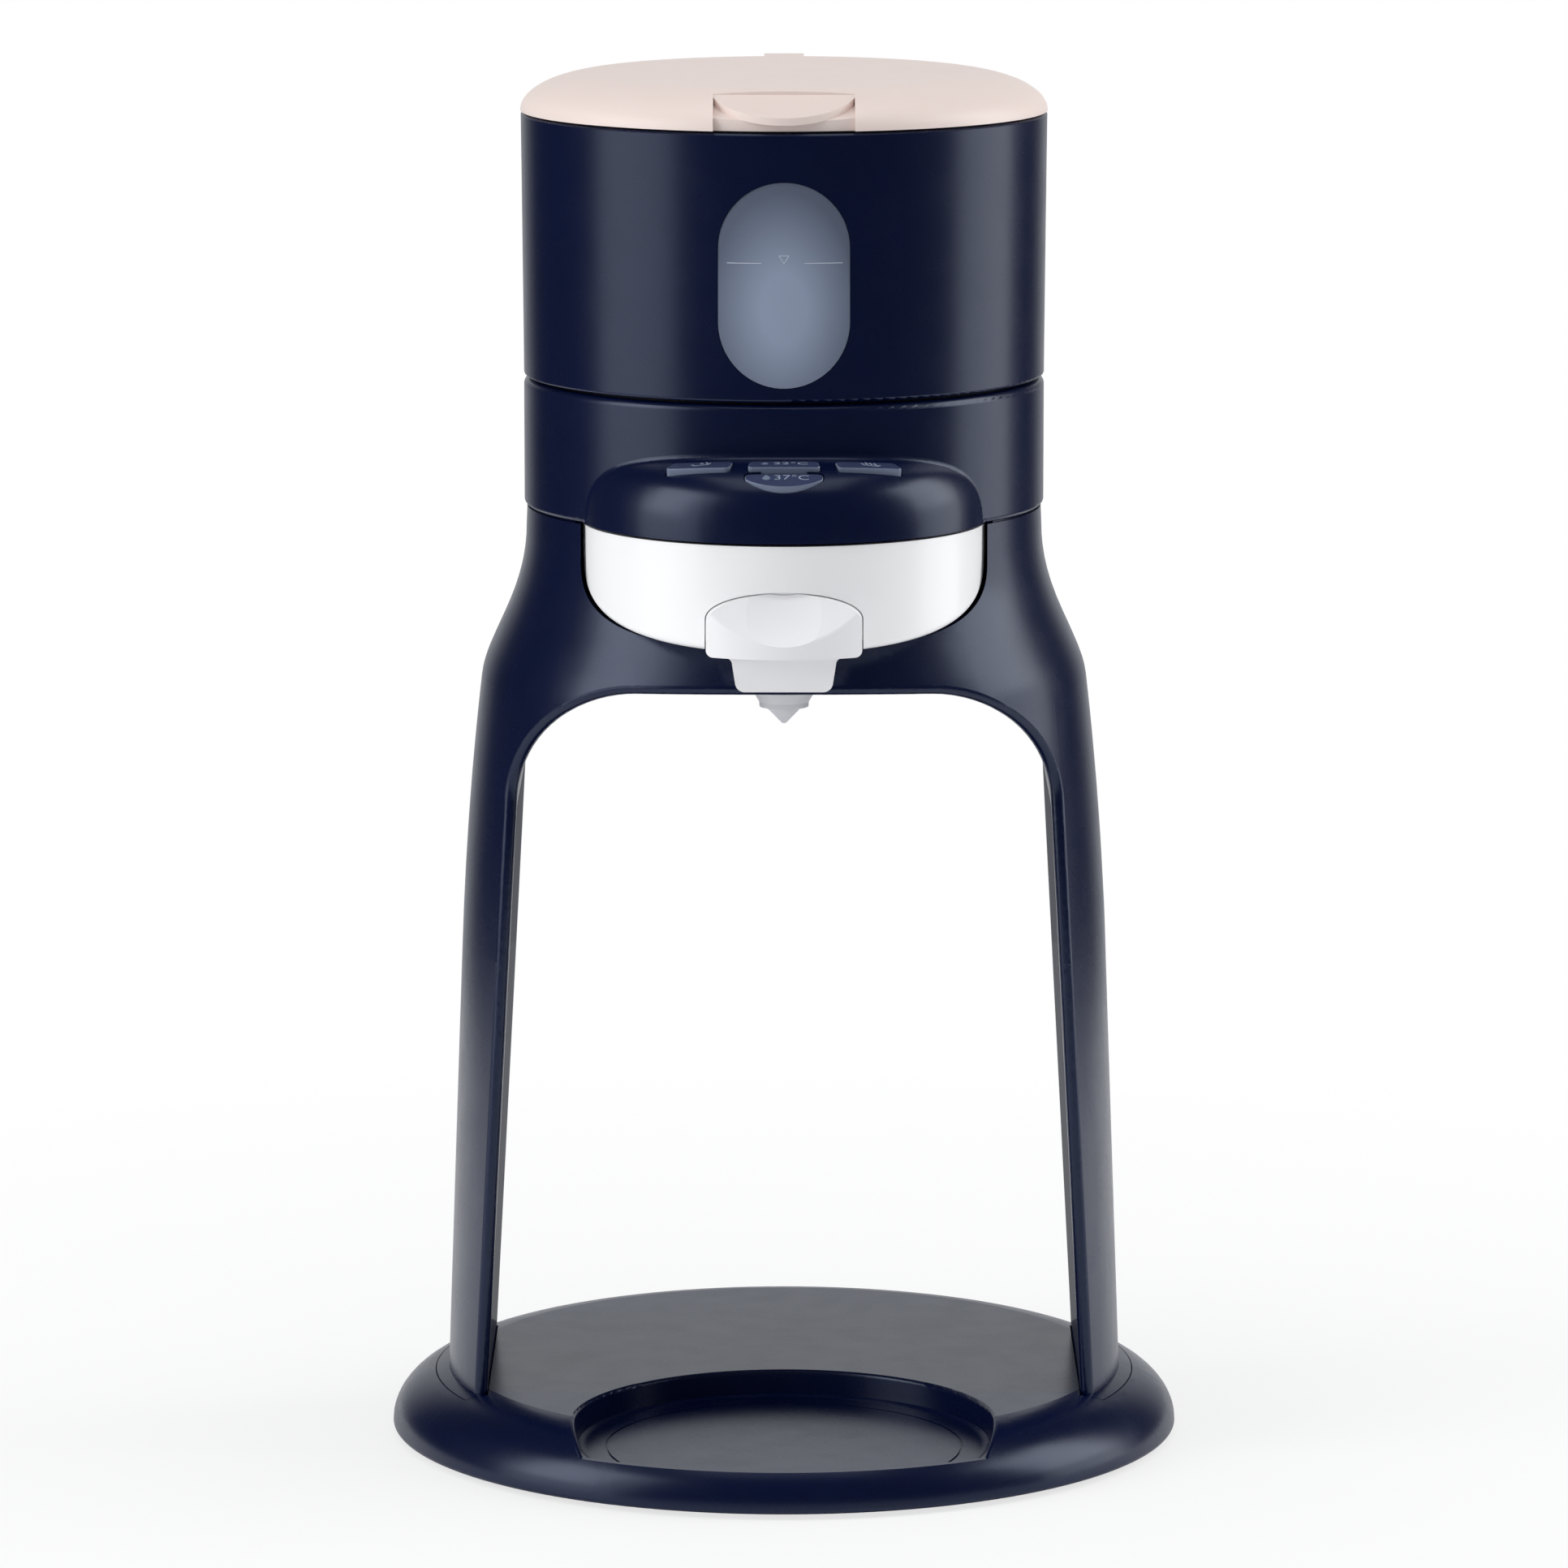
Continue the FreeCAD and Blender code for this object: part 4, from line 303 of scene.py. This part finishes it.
# %% [markdown]
# Silicone and rubber
#
# The nozzle and the water hoses are milky silicone: soft, slightly see-through and dull. The
# feet and the seals are black rubber, which is dull with a faint dusty sheen.

# %% Silicone and rubber
nozzle_silicone, silicone_shader = moulded(
    "nozzle_silicone", srgb(240, 240, 246), 0.97, 0.38, 0.04, 0.5, 0.003)
tune(silicone_shader, {"Transmission Weight": 0.1, "IOR": 1.41})
scatter(silicone_shader, 0.35, (0.004, 0.004, 0.005))
seal_rubber, rubber_shader = moulded("seal_rubber", srgb(26, 26, 28), 1.3, 0.72, 0.06, 0.5, 0.008)
tune(rubber_shader, {"Sheen Weight": 0.15})
print("nozzle_silicone and seal_rubber made")

# %% [markdown]
# Pieces inside
#
# The chassis, the deck, the cover and the runners are plain black and grey mouldings. Nobody
# polishes a mould for what stays out of sight, so they are duller than the outside and their
# grain is coarser.

# %% Inner plastics
inner_black, _ = moulded("inner_black", srgb(30, 30, 34), 1.2, 0.55, 0.05, 0.8, 0.010)
inner_grey, _ = moulded("inner_grey", srgb(150, 152, 156), 0.95, 0.50, 0.05, 0.8, 0.008)
print("inner_black and inner_grey made")

# %% [markdown]
# Boards, casting and screws
#
# A circuit board is green, with faint tracks under its solder mask. The tracks could be drawn
# one by one, but the boards stay inside, so a pattern of bricks stands for them. The heater is a
# casting with a coarse, pitted bump, and the screws are zinc-plated with a fine one. One function
# makes both metals: the same grain sets their tone, their gloss and their bump.

# %% Circuit board, heater casting and screws
TRACK_SCALE = 160.0         # makes the bricks 3.1 mm wide, in rows 1.6 mm high
TRACK_GAP = 0.05            # leaves lines 0.6 mm wide between them
METAL_SHIFT = 0.08          # how far a metal's roughness moves with its grain


def board_finish():
    """Board: two greens laid out as bricks, so that tracks seem to run under the mask."""
    finish, tree, shader = new_finish("board_green")
    place = tree.nodes.new("ShaderNodeTexCoord")
    tracks = tree.nodes.new("ShaderNodeTexBrick")
    tune(tracks, {"Scale": TRACK_SCALE, "Mortar Size": TRACK_GAP,
                  "Color1": (*srgb(18, 92, 52), 1.0), "Color2": (*srgb(14, 80, 45), 1.0),
                  "Mortar": (*srgb(40, 120, 66), 1.0)})
    tree.links.new(place.outputs["Object"], tracks.inputs["Vector"])
    tree.links.new(tracks.outputs["Color"], shader.inputs["Base Color"])
    gloss = spread(tree, pattern(tree, 4.0), 0.22, 0.36)
    tree.links.new(gloss, shader.inputs["Roughness"])
    bump(tree, shader, tracks.outputs["Fac"], 0.03)
    return finish


def metal(name, bright, dark, rough, grain_mm, depth_mm):
    """Metal: bright and dark clouds, with a roughness and a bump that follow the same grain."""
    finish, tree, shader = new_finish(name)
    tune(shader, {"Metallic": 1.0})
    grain = pattern(tree, grain_mm, 4.0)
    tone = two_tone(tree, spread(tree, grain, 0.0, 1.0), bright, dark)
    tree.links.new(tone, shader.inputs["Base Color"])
    gloss = spread(tree, grain, rough - METAL_SHIFT, rough + METAL_SHIFT)
    tree.links.new(gloss, shader.inputs["Roughness"])
    bump(tree, shader, grain, depth_mm)
    return finish


board_green = board_finish()
heater_cast = metal("heater_cast", srgb(205, 206, 208), srgb(165, 167, 170), 0.46, 1.1, 0.03)
screw_zinc = metal("screw_zinc", srgb(200, 202, 206), srgb(160, 163, 168), 0.30, 0.4, 0.004)
print("board_green, heater_cast and screw_zinc made")

# %% [markdown]
# Which piece has which finish
#
# Each solid of the frame gets the finish of the real piece. The meshes themselves stay as they
# are: only the material slot of each object changes.

# %% Finishes on the solids
FINISHES = {
    "base_shell": navy_satin, "leg_frame": navy_satin, "head_housing": navy_satin,
    "tank_shell": navy_satin, "cable_entry": seal_rubber,
    "leg_liner_left": navy_gloss, "leg_liner_right": navy_gloss,
    "lid": lid_pink, "reservoir": window_frost,
    "powder_bowl": bowl_white, "spout_carrier": carrier_white,
    "silicone_nozzle": nozzle_silicone, "water_hoses": nozzle_silicone,
    "button_left": cap_slate, "button_middle": cap_slate,
    "button_right": cap_slate, "button_front": cap_slate,
    "rubber_feet": seal_rubber, "lid_gasket": seal_rubber, "inlet_seal": seal_rubber,
    "mixing_gasket": seal_rubber,
    "base_cover": inner_black, "head_chassis": inner_black, "head_deck": inner_black,
    "inlet_socket": inner_black, "drawer_runners": inner_grey, "button_guide": inner_grey,
    "valve_poppet": inner_grey, "spray_head": inner_grey, "pump": inner_grey,
    "control_board": board_green, "power_board": board_green,
    "heater": heater_cast, "hinge_pin": screw_zinc, "valve_spring": screw_zinc,
    "cover_screws": screw_zinc, "leg_screws": screw_zinc, "deck_screws": screw_zinc,
}
for name, piece in nodes.items():
    for place in piece.material_slots:
        place.material = FINISHES[name]
print("finished", len(nodes), "solids;", sorted(set(nodes) - set(FINISHES)), "left over")

# %% [markdown]
# Printed marks on the caps
#
# The caps carry thin printed marks: a drop and a temperature on the two middle ones, and a plain
# picture on each side one. A print is a film of ink that follows the cap's crown. Its outline is
# drawn flat, as seen from straight above, and then every point is dropped onto the crown with
# the crown's own formula, a little proud of it so that it shows.

# %% The crown of the caps
CROWN_R = 178.0             # all in millimetres; each cap's top is a piece of a ball this large
REAR_CROWN = (-40.7, 239.74)      # y and z of the ball's top for the three rear caps
FRONT_CROWN = (-3.0, 248.3)       # and for the front cap, which slopes more
INK = 0.03                  # thickness of the ink above the cap
INK_ROOT = 0.05             # how far the film reaches into the cap


def crown_height(x, y, crown):
    """Height of the crown.

    It is the ball's top, less its radius, plus the root of the radius squared less the squares
    of the runs across and along from the top.
    """
    top_y, top_z = crown
    return top_z - CROWN_R + np.sqrt(CROWN_R ** 2 - x ** 2 - (y - top_y) ** 2)


def lay_on_crown(points, centre, crown):
    """Turns (u, v, lift) into (x, y, z) in metres: u across, v backwards, lift above the crown."""
    x = centre[0] + points[:, 0]
    y = centre[1] + points[:, 1]
    z = crown_height(x, y, crown) + points[:, 2]
    return np.column_stack((x, y, z)) * MM


def make_mesh(name, points, faces, finish, body):
    """An object from arrays of points and faces, with one finish, riding on one body."""
    mesh = bpy.data.meshes.new(name)
    mesh.from_pydata(points.tolist(), [], [list(face) for face in faces])
    mesh.update()
    piece = bpy.data.objects.new(name, mesh)
    bpy.context.scene.collection.objects.link(piece)
    mesh.materials.append(finish)
    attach(piece, body)
    return piece


print("middle cap", round(float(crown_height(0.0, -64.7, REAR_CROWN)), 2), "mm high")

# %% [markdown]
# Ink lines and ink spots
#
# A line is a ribbon with a flat section, carried along a path. A spot is a closed outline. Both
# are thin slabs: the outline once at the root and once at the top, with a wall between them.

# %% Slabs from outlines and from paths
def slab(outline):
    """Closed slab on a closed outline: the outline at root and top, two caps and a wall."""
    count = len(outline)
    ring = np.arange(count)
    after = (ring + 1) % count
    points = np.vstack((np.column_stack((outline, np.full(count, -INK_ROOT))),
                        np.column_stack((outline, np.full(count, INK)))))
    wall = np.column_stack((ring, after, after + count, ring + count))
    faces = [ring[::-1].tolist(), (ring + count).tolist()] + wall.tolist()
    return points, faces


def ribbon_outline(path, width):
    """Outline of a ribbon: the path moved half a width to each side along its normals."""
    step = np.gradient(path, axis=0)
    step /= np.linalg.norm(step, axis=1)[:, None]
    side = np.column_stack((-step[:, 1], step[:, 0])) * width / 2
    return np.vstack((path - side, (path + side)[::-1]))


def together(slabs):
    """Joins several slabs into one list of points and one of faces."""
    points, faces, start = [], [], 0
    for some_points, some_faces in slabs:
        points.append(some_points)
        faces += [[start + corner for corner in face] for face in some_faces]
        start += len(some_points)
    return np.vstack(points), faces


print("slab helpers ready")

# %% [markdown]
# Outlines of the marks
#
# The marks are made of a drop, an open dish and wisps of steam. They could be curves drawn by
# hand, but a formula keeps them smooth and easy to resize. The drop is a circle drawn in towards
# its tip, a wisp is one turn of a sine, and the dish is three straight runs.

# %% The drop, the dish and the steam
LINE = 0.34                 # width of the thin printed lines
DROP_POINT = 1.4            # the higher, the slimmer the drop's tip
DROP_WIDTH = 1.2            # makes up for the width that this takes away
DROP_STEPS = 40
DISH_FLOOR_SHARE = 0.34     # half the dish's floor as a share of its width
WISP_STEPS = 17
OVERLAP_SHARE = 0.4         # how far a straight run reaches past its corner, in line widths


def drop_outline(radius):
    """A drop, pointed where the turn t is 0 and round half a turn on.

    Across is the width times the sine of t times the sine of half t to the power DROP_POINT,
    and up is the cosine of t, both times the radius.
    """
    turn = np.linspace(0.0, 2 * np.pi, DROP_STEPS, endpoint=False)
    across = np.sin(turn) * np.sin(turn / 2) ** DROP_POINT * radius * DROP_WIDTH
    up = np.cos(turn) * radius
    return np.column_stack((across, up))[::-1]


def dish_path(width, depth):
    """An open dish: a flat floor with two sides that lean outwards."""
    corner = width * DISH_FLOOR_SHARE
    return np.array([[-width / 2, depth], [-corner, 0.0], [corner, 0.0], [width / 2, depth]])


def wisp(x, low, high, sway):
    """One wisp of steam: x plus sway times the sine of one full turn, from low to high."""
    share = np.linspace(0.0, 1.0, WISP_STEPS)
    path = np.column_stack((x + sway * np.sin(share * 2 * np.pi), low + (high - low) * share))
    return slab(ribbon_outline(path, LINE))


def straight_runs(path, width):
    """Each straight run of a path as its own ribbon, a hair longer so that the corners close."""
    runs = []
    for first, last in zip(path[:-1], path[1:]):
        along = (last - first) / np.linalg.norm(last - first) * width * OVERLAP_SHARE
        runs.append(slab(ribbon_outline(np.linspace(first - along, last + along, 3), width)))
    return runs


print("marks drawn with lines", LINE, "mm wide")

# %% [markdown]
# Ink
#
# The ink is a pale grey-blue, a little uneven in its cover as pad printing is. The drops are
# printed thinner, so they are darker than the digits.

# %% Ink finish
INK_TONE = 0.92
INK_SURFACE = (0.5, 0.05, 0.3, 0.002)   # roughness, its shift, grain and its depth in mm

ink_pale, _ = moulded("ink_pale", srgb(152, 164, 184), INK_TONE, *INK_SURFACE)
ink_drop, _ = moulded("ink_drop", srgb(116, 128, 150), INK_TONE, *INK_SURFACE)
print("ink_pale and ink_drop made")

# %% [markdown]
# Pictures on the side caps
#
# The left cap shows a dish with a spoon over it and one short wisp, and the right cap a dish
# with three wisps of steam. Both are put together from the same few outlines, in one mesh each,
# so that a picture stays one piece and moves with its button.

# %% Pictures on the side caps
LEFT_MARK = (-18.7, -61.6)  # x and y of the middle of each picture
RIGHT_MARK = (19.6, -61.6)
DISH_PLACE = (0.0, -1.0, 0.0)       # the middle of the dish's floor from there
DISH_WIDTH, DISH_DEPTH = 4.2, 1.1
SPOON_R = 0.5
SPOON_TURN = np.array([[0.94, 0.34], [-0.34, 0.94]])    # about 20 degrees
SPOON_PLACE = (0.1, 1.45)   # from the dish's floor, as the wisps are
SPOON_WISP = (1.3, 0.8, 2.1, 0.12)  # x, low end, high end and sway
STEAM_WISPS = ((-1.0, 0.6, 2.2, 0.28), (0.0, 0.6, 2.2, 0.28), (1.0, 0.6, 2.2, 0.28))


def side_mark(name, slabs, centre, body):
    """One picture: its slabs joined, set about its middle and laid on a rear cap's crown."""
    points, faces = together(slabs)
    laid = lay_on_crown(points + DISH_PLACE, centre, REAR_CROWN)
    mark = make_mesh(name, laid, faces, ink_pale, body)


dish = straight_runs(dish_path(DISH_WIDTH, DISH_DEPTH), LINE)
spoon = slab(drop_outline(SPOON_R) @ SPOON_TURN + SPOON_PLACE)
side_mark("mark_left", dish + [spoon, wisp(*SPOON_WISP)], LEFT_MARK, "button_left")
side_mark("mark_right", dish + [wisp(*one) for one in STEAM_WISPS], RIGHT_MARK, "button_right")
print("side marks made")

# %% [markdown]
# Temperatures on the middle caps
#
# The two middle caps show a temperature in plain upright digits. Their strokes could be drawn
# like the dish's, but the built-in letters are even and give the degree sign too. A text is flat,
# so it is made a mesh first, and then its points are laid on the crown as those of the pictures
# are.

# %% Temperatures on the middle caps
LETTER_SIZE = 1.37          # size of the letters whose digits are 1 tall
LETTER_OFFSET = -0.022      # draws the letters' outlines in, so that their strokes are thinner
LETTER_STEPS = 4            # steps in each curve of a letter


def temperature(name, words, centre, size, body, crown):
    """Digits in the plain built-in letters: a flat mesh, stretched to its width, on the crown."""
    width, height = size
    curve = bpy.data.curves.new(name, "FONT")
    curve.body = words
    curve.size = height * LETTER_SIZE
    curve.offset = LETTER_OFFSET
    curve.extrude = (INK + INK_ROOT) / 2
    curve.resolution_u = LETTER_STEPS
    flat = bpy.data.objects.new(name + "_flat", curve)
    bpy.context.scene.collection.objects.link(flat)
    graph = bpy.context.evaluated_depsgraph_get()
    mesh = bpy.data.meshes.new_from_object(flat.evaluated_get(graph))
    bpy.data.objects.remove(flat)
    points = np.empty(len(mesh.vertices) * 3)
    mesh.vertices.foreach_get("co", points)
    points = points.reshape(-1, 3)
    points[:, 2] += (INK - INK_ROOT) / 2
    points[:, 1] -= height / 2
    points[:, 0] -= points[:, 0].min()
    points[:, 0] *= width / points[:, 0].max()
    laid = lay_on_crown(points, centre, crown)
    mesh.vertices.foreach_set("co", laid.ravel())
    mesh.update()
    mesh.materials.clear()
    mesh.materials.append(ink_pale)
    mesh.name = name
    piece = bpy.data.objects.new(name, mesh)
    bpy.context.scene.collection.objects.link(piece)
    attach(piece, body)
    return len(mesh.vertices)


# each row: name, words, (x, y) of the left end, (width, height), body, crown
TEMPERATURES = (
    ("digits_front", "37°C", (-2.1, -69.2), (7.7, 2.0), "button_front", FRONT_CROWN),
    ("digits_middle", "22°C", (-2.35, -64.7), (7.7, 1.9), "button_middle", REAR_CROWN),
)
print("digits made of", [temperature(*row) for row in TEMPERATURES], "points")

# %% [markdown]
# Drops beside the temperatures
#
# A drop stands to the left of each temperature, as the sign for water. Both are the same outline
# in two sizes, in the darker ink.

# %% Drops beside the temperatures
# each row: name, (x, y) of the middle, radius, body, crown
DROPS = (
    ("drop_front", (-4.0, -69.2), 1.05, "button_front", FRONT_CROWN),
    ("drop_middle", (-4.3, -64.7), 0.9, "button_middle", REAR_CROWN),
)
for name, centre, radius, body, crown in DROPS:
    points, faces = slab(drop_outline(radius))
    mark = make_mesh(name, lay_on_crown(points, centre, crown), faces, ink_drop, body)
print("drops made")

# %% [markdown]
# Level line on the window
#
# A fine pale line across the window shows how far to fill. It is printed on the frosted pane,
# which is a piece of a cylinder, so the line is a thin band bent round the same cylinder. A small
# triangle between its halves points at the level.

# %% Level line
PANE_R = 60.65              # all in millimetres; the outer face of the pane
LEVEL_Z = 282.9
HALF_LINE = 0.09            # half the thickness of the level line
BAND_STEPS = 24
STRETCHES = ((-12.9, -5.1), (4.6, 13.2))    # the line's two halves, from x to x
TIP_BELOW, TIP_ABOVE = 0.1, 1.7     # the triangle's tip and its top, from the level
TIP_HALF_W = 1.1


def band_on_pane(x0, x1):
    """A thin closed band along x, from half a line below the level to half a line above."""
    across = np.linspace(x0, x1, BAND_STEPS)
    low, high = LEVEL_Z - HALF_LINE, LEVEL_Z + HALF_LINE
    outline = np.vstack((np.column_stack((across, np.full(BAND_STEPS, low))),
                         np.column_stack((across[::-1], np.full(BAND_STEPS, high)))))
    return slab(outline)


def lay_on_pane(points):
    """Turns (x, z, lift) into (x, y, z) in metres on the pane's cylinder.

    Its y is less the root of the radius with the lift squared, less x squared.
    """
    out = PANE_R + points[:, 2]
    x = points[:, 0]
    return np.column_stack((x, -np.sqrt(out ** 2 - x ** 2), points[:, 1])) * MM


line_white, _ = moulded("line_white", srgb(190, 198, 212), 0.95, *INK_SURFACE)
tip = np.array([[0.0, LEVEL_Z - TIP_BELOW], [TIP_HALF_W, LEVEL_Z + TIP_ABOVE],
                [-TIP_HALF_W, LEVEL_Z + TIP_ABOVE], [0.0, LEVEL_Z - TIP_BELOW]])
halves = [band_on_pane(*stretch) for stretch in STRETCHES]
points, faces = together(halves + straight_runs(tip, 2 * HALF_LINE))
level = make_mesh("level_line", lay_on_pane(points), faces, line_white, "tank")
print("level line at", LEVEL_Z, "mm")

# %% [markdown]
# White where it is seen
#
# The machine stands before plain white, and yet its light comes from certain sides and leaves a
# soft shadow. A white room would do the first and spoil the rest. So the floor and the surround
# ask what kind of ray meets them: one that comes from the camera, also through clear plastic,
# finds white, and every other ray finds the real surface.

# %% What the camera sees directly
def number_step(tree, operation, first, second):
    """One step of arithmetic on two numbers."""
    node = tree.nodes.new("ShaderNodeMath")
    node.operation = operation
    tree.links.new(first, node.inputs[0])
    tree.links.new(second, node.inputs[1])
    return node.outputs["Value"]


def seen_directly(tree):
    """One for rays of the camera, also behind clear plastic, and zero for all other light."""
    path = tree.nodes.new("ShaderNodeLightPath")
    return number_step(tree, "MAXIMUM", path.outputs["Is Camera Ray"],
                       path.outputs["Is Transmission Ray"])


def end_in_mix(tree, share, first, second, ending):
    """Ends a tree in the first surface where the share is zero, in the second where it is one."""
    blend = tree.nodes.new("ShaderNodeMixShader")
    tree.links.new(share, blend.inputs["Fac"])
    tree.links.new(first, blend.inputs[1])
    tree.links.new(second, blend.inputs[2])
    tree.links.new(blend.outputs["Shader"], tree.nodes[ending].inputs["Surface"])


print("ray helpers ready")

# %% [markdown]
# Floor
#
# The floor is pale and plain. Seen directly it blends into the white surround, and the machine's
# own soft shadow stays on it, weaker, and gone further out.

# %% Floor
FLOOR_R = 0.62              # all in metres
FLOOR_SIDES = 96
FLOOR_TONES = ((0.86, 0.86, 0.86), (0.88, 0.88, 0.88))
FLOOR_CLOUD_MM = 180.0
WHITE_SHARE = 0.72          # how much of the seen floor is plain white near the machine
WHITE_STARTS, WHITE_FULL = 0.12, 0.45   # distances at which that share starts to grow, and is one


def floor_finish():
    """Pale matt floor, mixed with plain white where it is seen, and more so further out."""
    finish, tree, shader = new_finish("floor_pale")
    shade = spread(tree, pattern(tree, FLOOR_CLOUD_MM), 0.0, 1.0)
    tree.links.new(two_tone(tree, shade, *FLOOR_TONES), shader.inputs["Base Color"])
    tune(shader, {"Roughness": 0.9, "Specular IOR Level": 0.0})
    white = tree.nodes.new("ShaderNodeEmission")
    tune(white, {"Strength": 1.0})
    place = tree.nodes.new("ShaderNodeTexCoord")
    far = vector_step(tree, "LENGTH", place.outputs["Object"])
    reach = spread(tree, far.outputs["Value"], WHITE_SHARE, 1.0, WHITE_STARTS, WHITE_FULL)
    share = number_step(tree, "MULTIPLY", seen_directly(tree), reach)
    end_in_mix(tree, share, shader.outputs["BSDF"], white.outputs["Emission"], "Material Output")
    return finish


turn = np.linspace(0.0, 2 * np.pi, FLOOR_SIDES, endpoint=False)
disc = np.column_stack((np.cos(turn), np.sin(turn), np.zeros(FLOOR_SIDES))) * FLOOR_R
floor_mesh = bpy.data.meshes.new("floor")
floor_mesh.from_pydata(disc.tolist(), [], [list(range(FLOOR_SIDES))])
floor_mesh.materials.append(floor_finish())
floor = bpy.data.objects.new("floor", floor_mesh)
bpy.context.scene.collection.objects.link(floor)
print("floor", 2 * FLOOR_R, "m across")

# %% [markdown]
# Lamps
#
# Soft lamps stand at both sides in pairs, a tall one and a smaller one above it. The left pair
# stands towards the front and the right pair level with the machine, a little behind it. They
# draw the two long soft bands down the tank and the highlights on the hood. A broad lamp above
# lights the lid and the base. Small lamps would draw hard streaks in satin plastic, so each is
# about a metre across and stands more than a metre away.

# %% Lamps
LAMP_AIM = (0.0, 0.0, 0.17)         # metres: every lamp points here, about the machine's middle


def soft_lamp(name, azimuth, height, distance, width, tall, radiance):
    """A rectangular lamp of even radiance, at an azimuth from -Y towards +X, turned to the aim.

    Its power is the radiance times both its sides times pi.
    """
    data = bpy.data.lights.new(name, "AREA")
    data.shape = "RECTANGLE"
    data.size = width
    data.size_y = tall
    data.energy = radiance * width * tall * math.pi
    lamp = bpy.data.objects.new(name, data)
    turned = math.radians(azimuth)
    lamp.location = (distance * math.sin(turned), -distance * math.cos(turned), height)
    away = np.array(lamp.location) - np.array(LAMP_AIM)
    tilt = math.atan2(math.hypot(away[0], away[1]), away[2])
    lamp.rotation_euler = (tilt, 0.0, math.atan2(away[1], away[0]) + math.pi / 2)
    lamp.visible_camera = False
    bpy.context.scene.collection.objects.link(lamp)


# each row: name, azimuth in degrees, then height, distance, width and tall in metres, radiance
LAMPS = (
    ("lamp_left", -67.5, 0.55, 1.30, 1.00, 1.50, 1.60),
    ("lamp_left_high", -71.0, 0.92, 1.42, 0.75, 1.00, 2.0),
    ("lamp_right", 98.5, 0.55, 1.30, 0.90, 1.50, 1.95),
    ("lamp_right_high", 95.0, 0.92, 1.42, 0.95, 1.00, 1.4),
    ("lamp_top", 0.0, 1.60, 0.10, 1.10, 1.10, 1.15),
)
for row in LAMPS:
    soft_lamp(*row)
print(len(LAMPS), "lamps")

# %% [markdown]
# Surround
#
# The surround is the even light of the room. Satin plastic mirrors it, and a surround as pale
# all round would turn the navy grey. So in reflections it is almost black in front of the
# machine and pale only straight behind it, where only its turned edges mirror it.

# %% Surround
MATT_LIGHT = 0.50           # strength of the surround for matt surfaces
GLOSSY_FRONT, GLOSSY_BACK = 0.03, 0.70  # and in reflections, in front of the machine and behind it
BACK_STARTS, BACK_FULL = 0.80, 0.97     # where the back begins: Y of the ray's direction
SKY_TINT = (0.95, 0.975, 1.0, 1.0)
WHITE = (1.0, 1.0, 1.0, 1.0)


def surround():
    """World: white where seen; an even grey as light; in reflections dark, but pale behind."""
    world = bpy.data.worlds.new("surround")
    world.use_nodes = True
    tree = world.node_tree
    lit = tree.nodes["Background"]
    lit.inputs["Color"].default_value = SKY_TINT
    place = tree.nodes.new("ShaderNodeTexCoord")
    parts = tree.nodes.new("ShaderNodeSeparateXYZ")
    tree.links.new(place.outputs["Generated"], parts.inputs["Vector"])
    back = spread(tree, parts.outputs["Y"], GLOSSY_FRONT, GLOSSY_BACK, BACK_STARTS, BACK_FULL)
    path = tree.nodes.new("ShaderNodeLightPath")
    plain = tree.nodes.new("ShaderNodeMix")
    plain.inputs["A"].default_value = MATT_LIGHT
    tree.links.new(path.outputs["Is Glossy Ray"], plain.inputs["Factor"])
    tree.links.new(back, plain.inputs["B"])
    tree.links.new(plain.outputs["Result"], lit.inputs["Strength"])
    white = tree.nodes.new("ShaderNodeBackground")
    tune(white, {"Strength": 1.0, "Color": WHITE})
    end_in_mix(tree, seen_directly(tree), lit.outputs["Background"],
               white.outputs["Background"], "World Output")
    return world


bpy.context.scene.world = surround()
print("surround set")
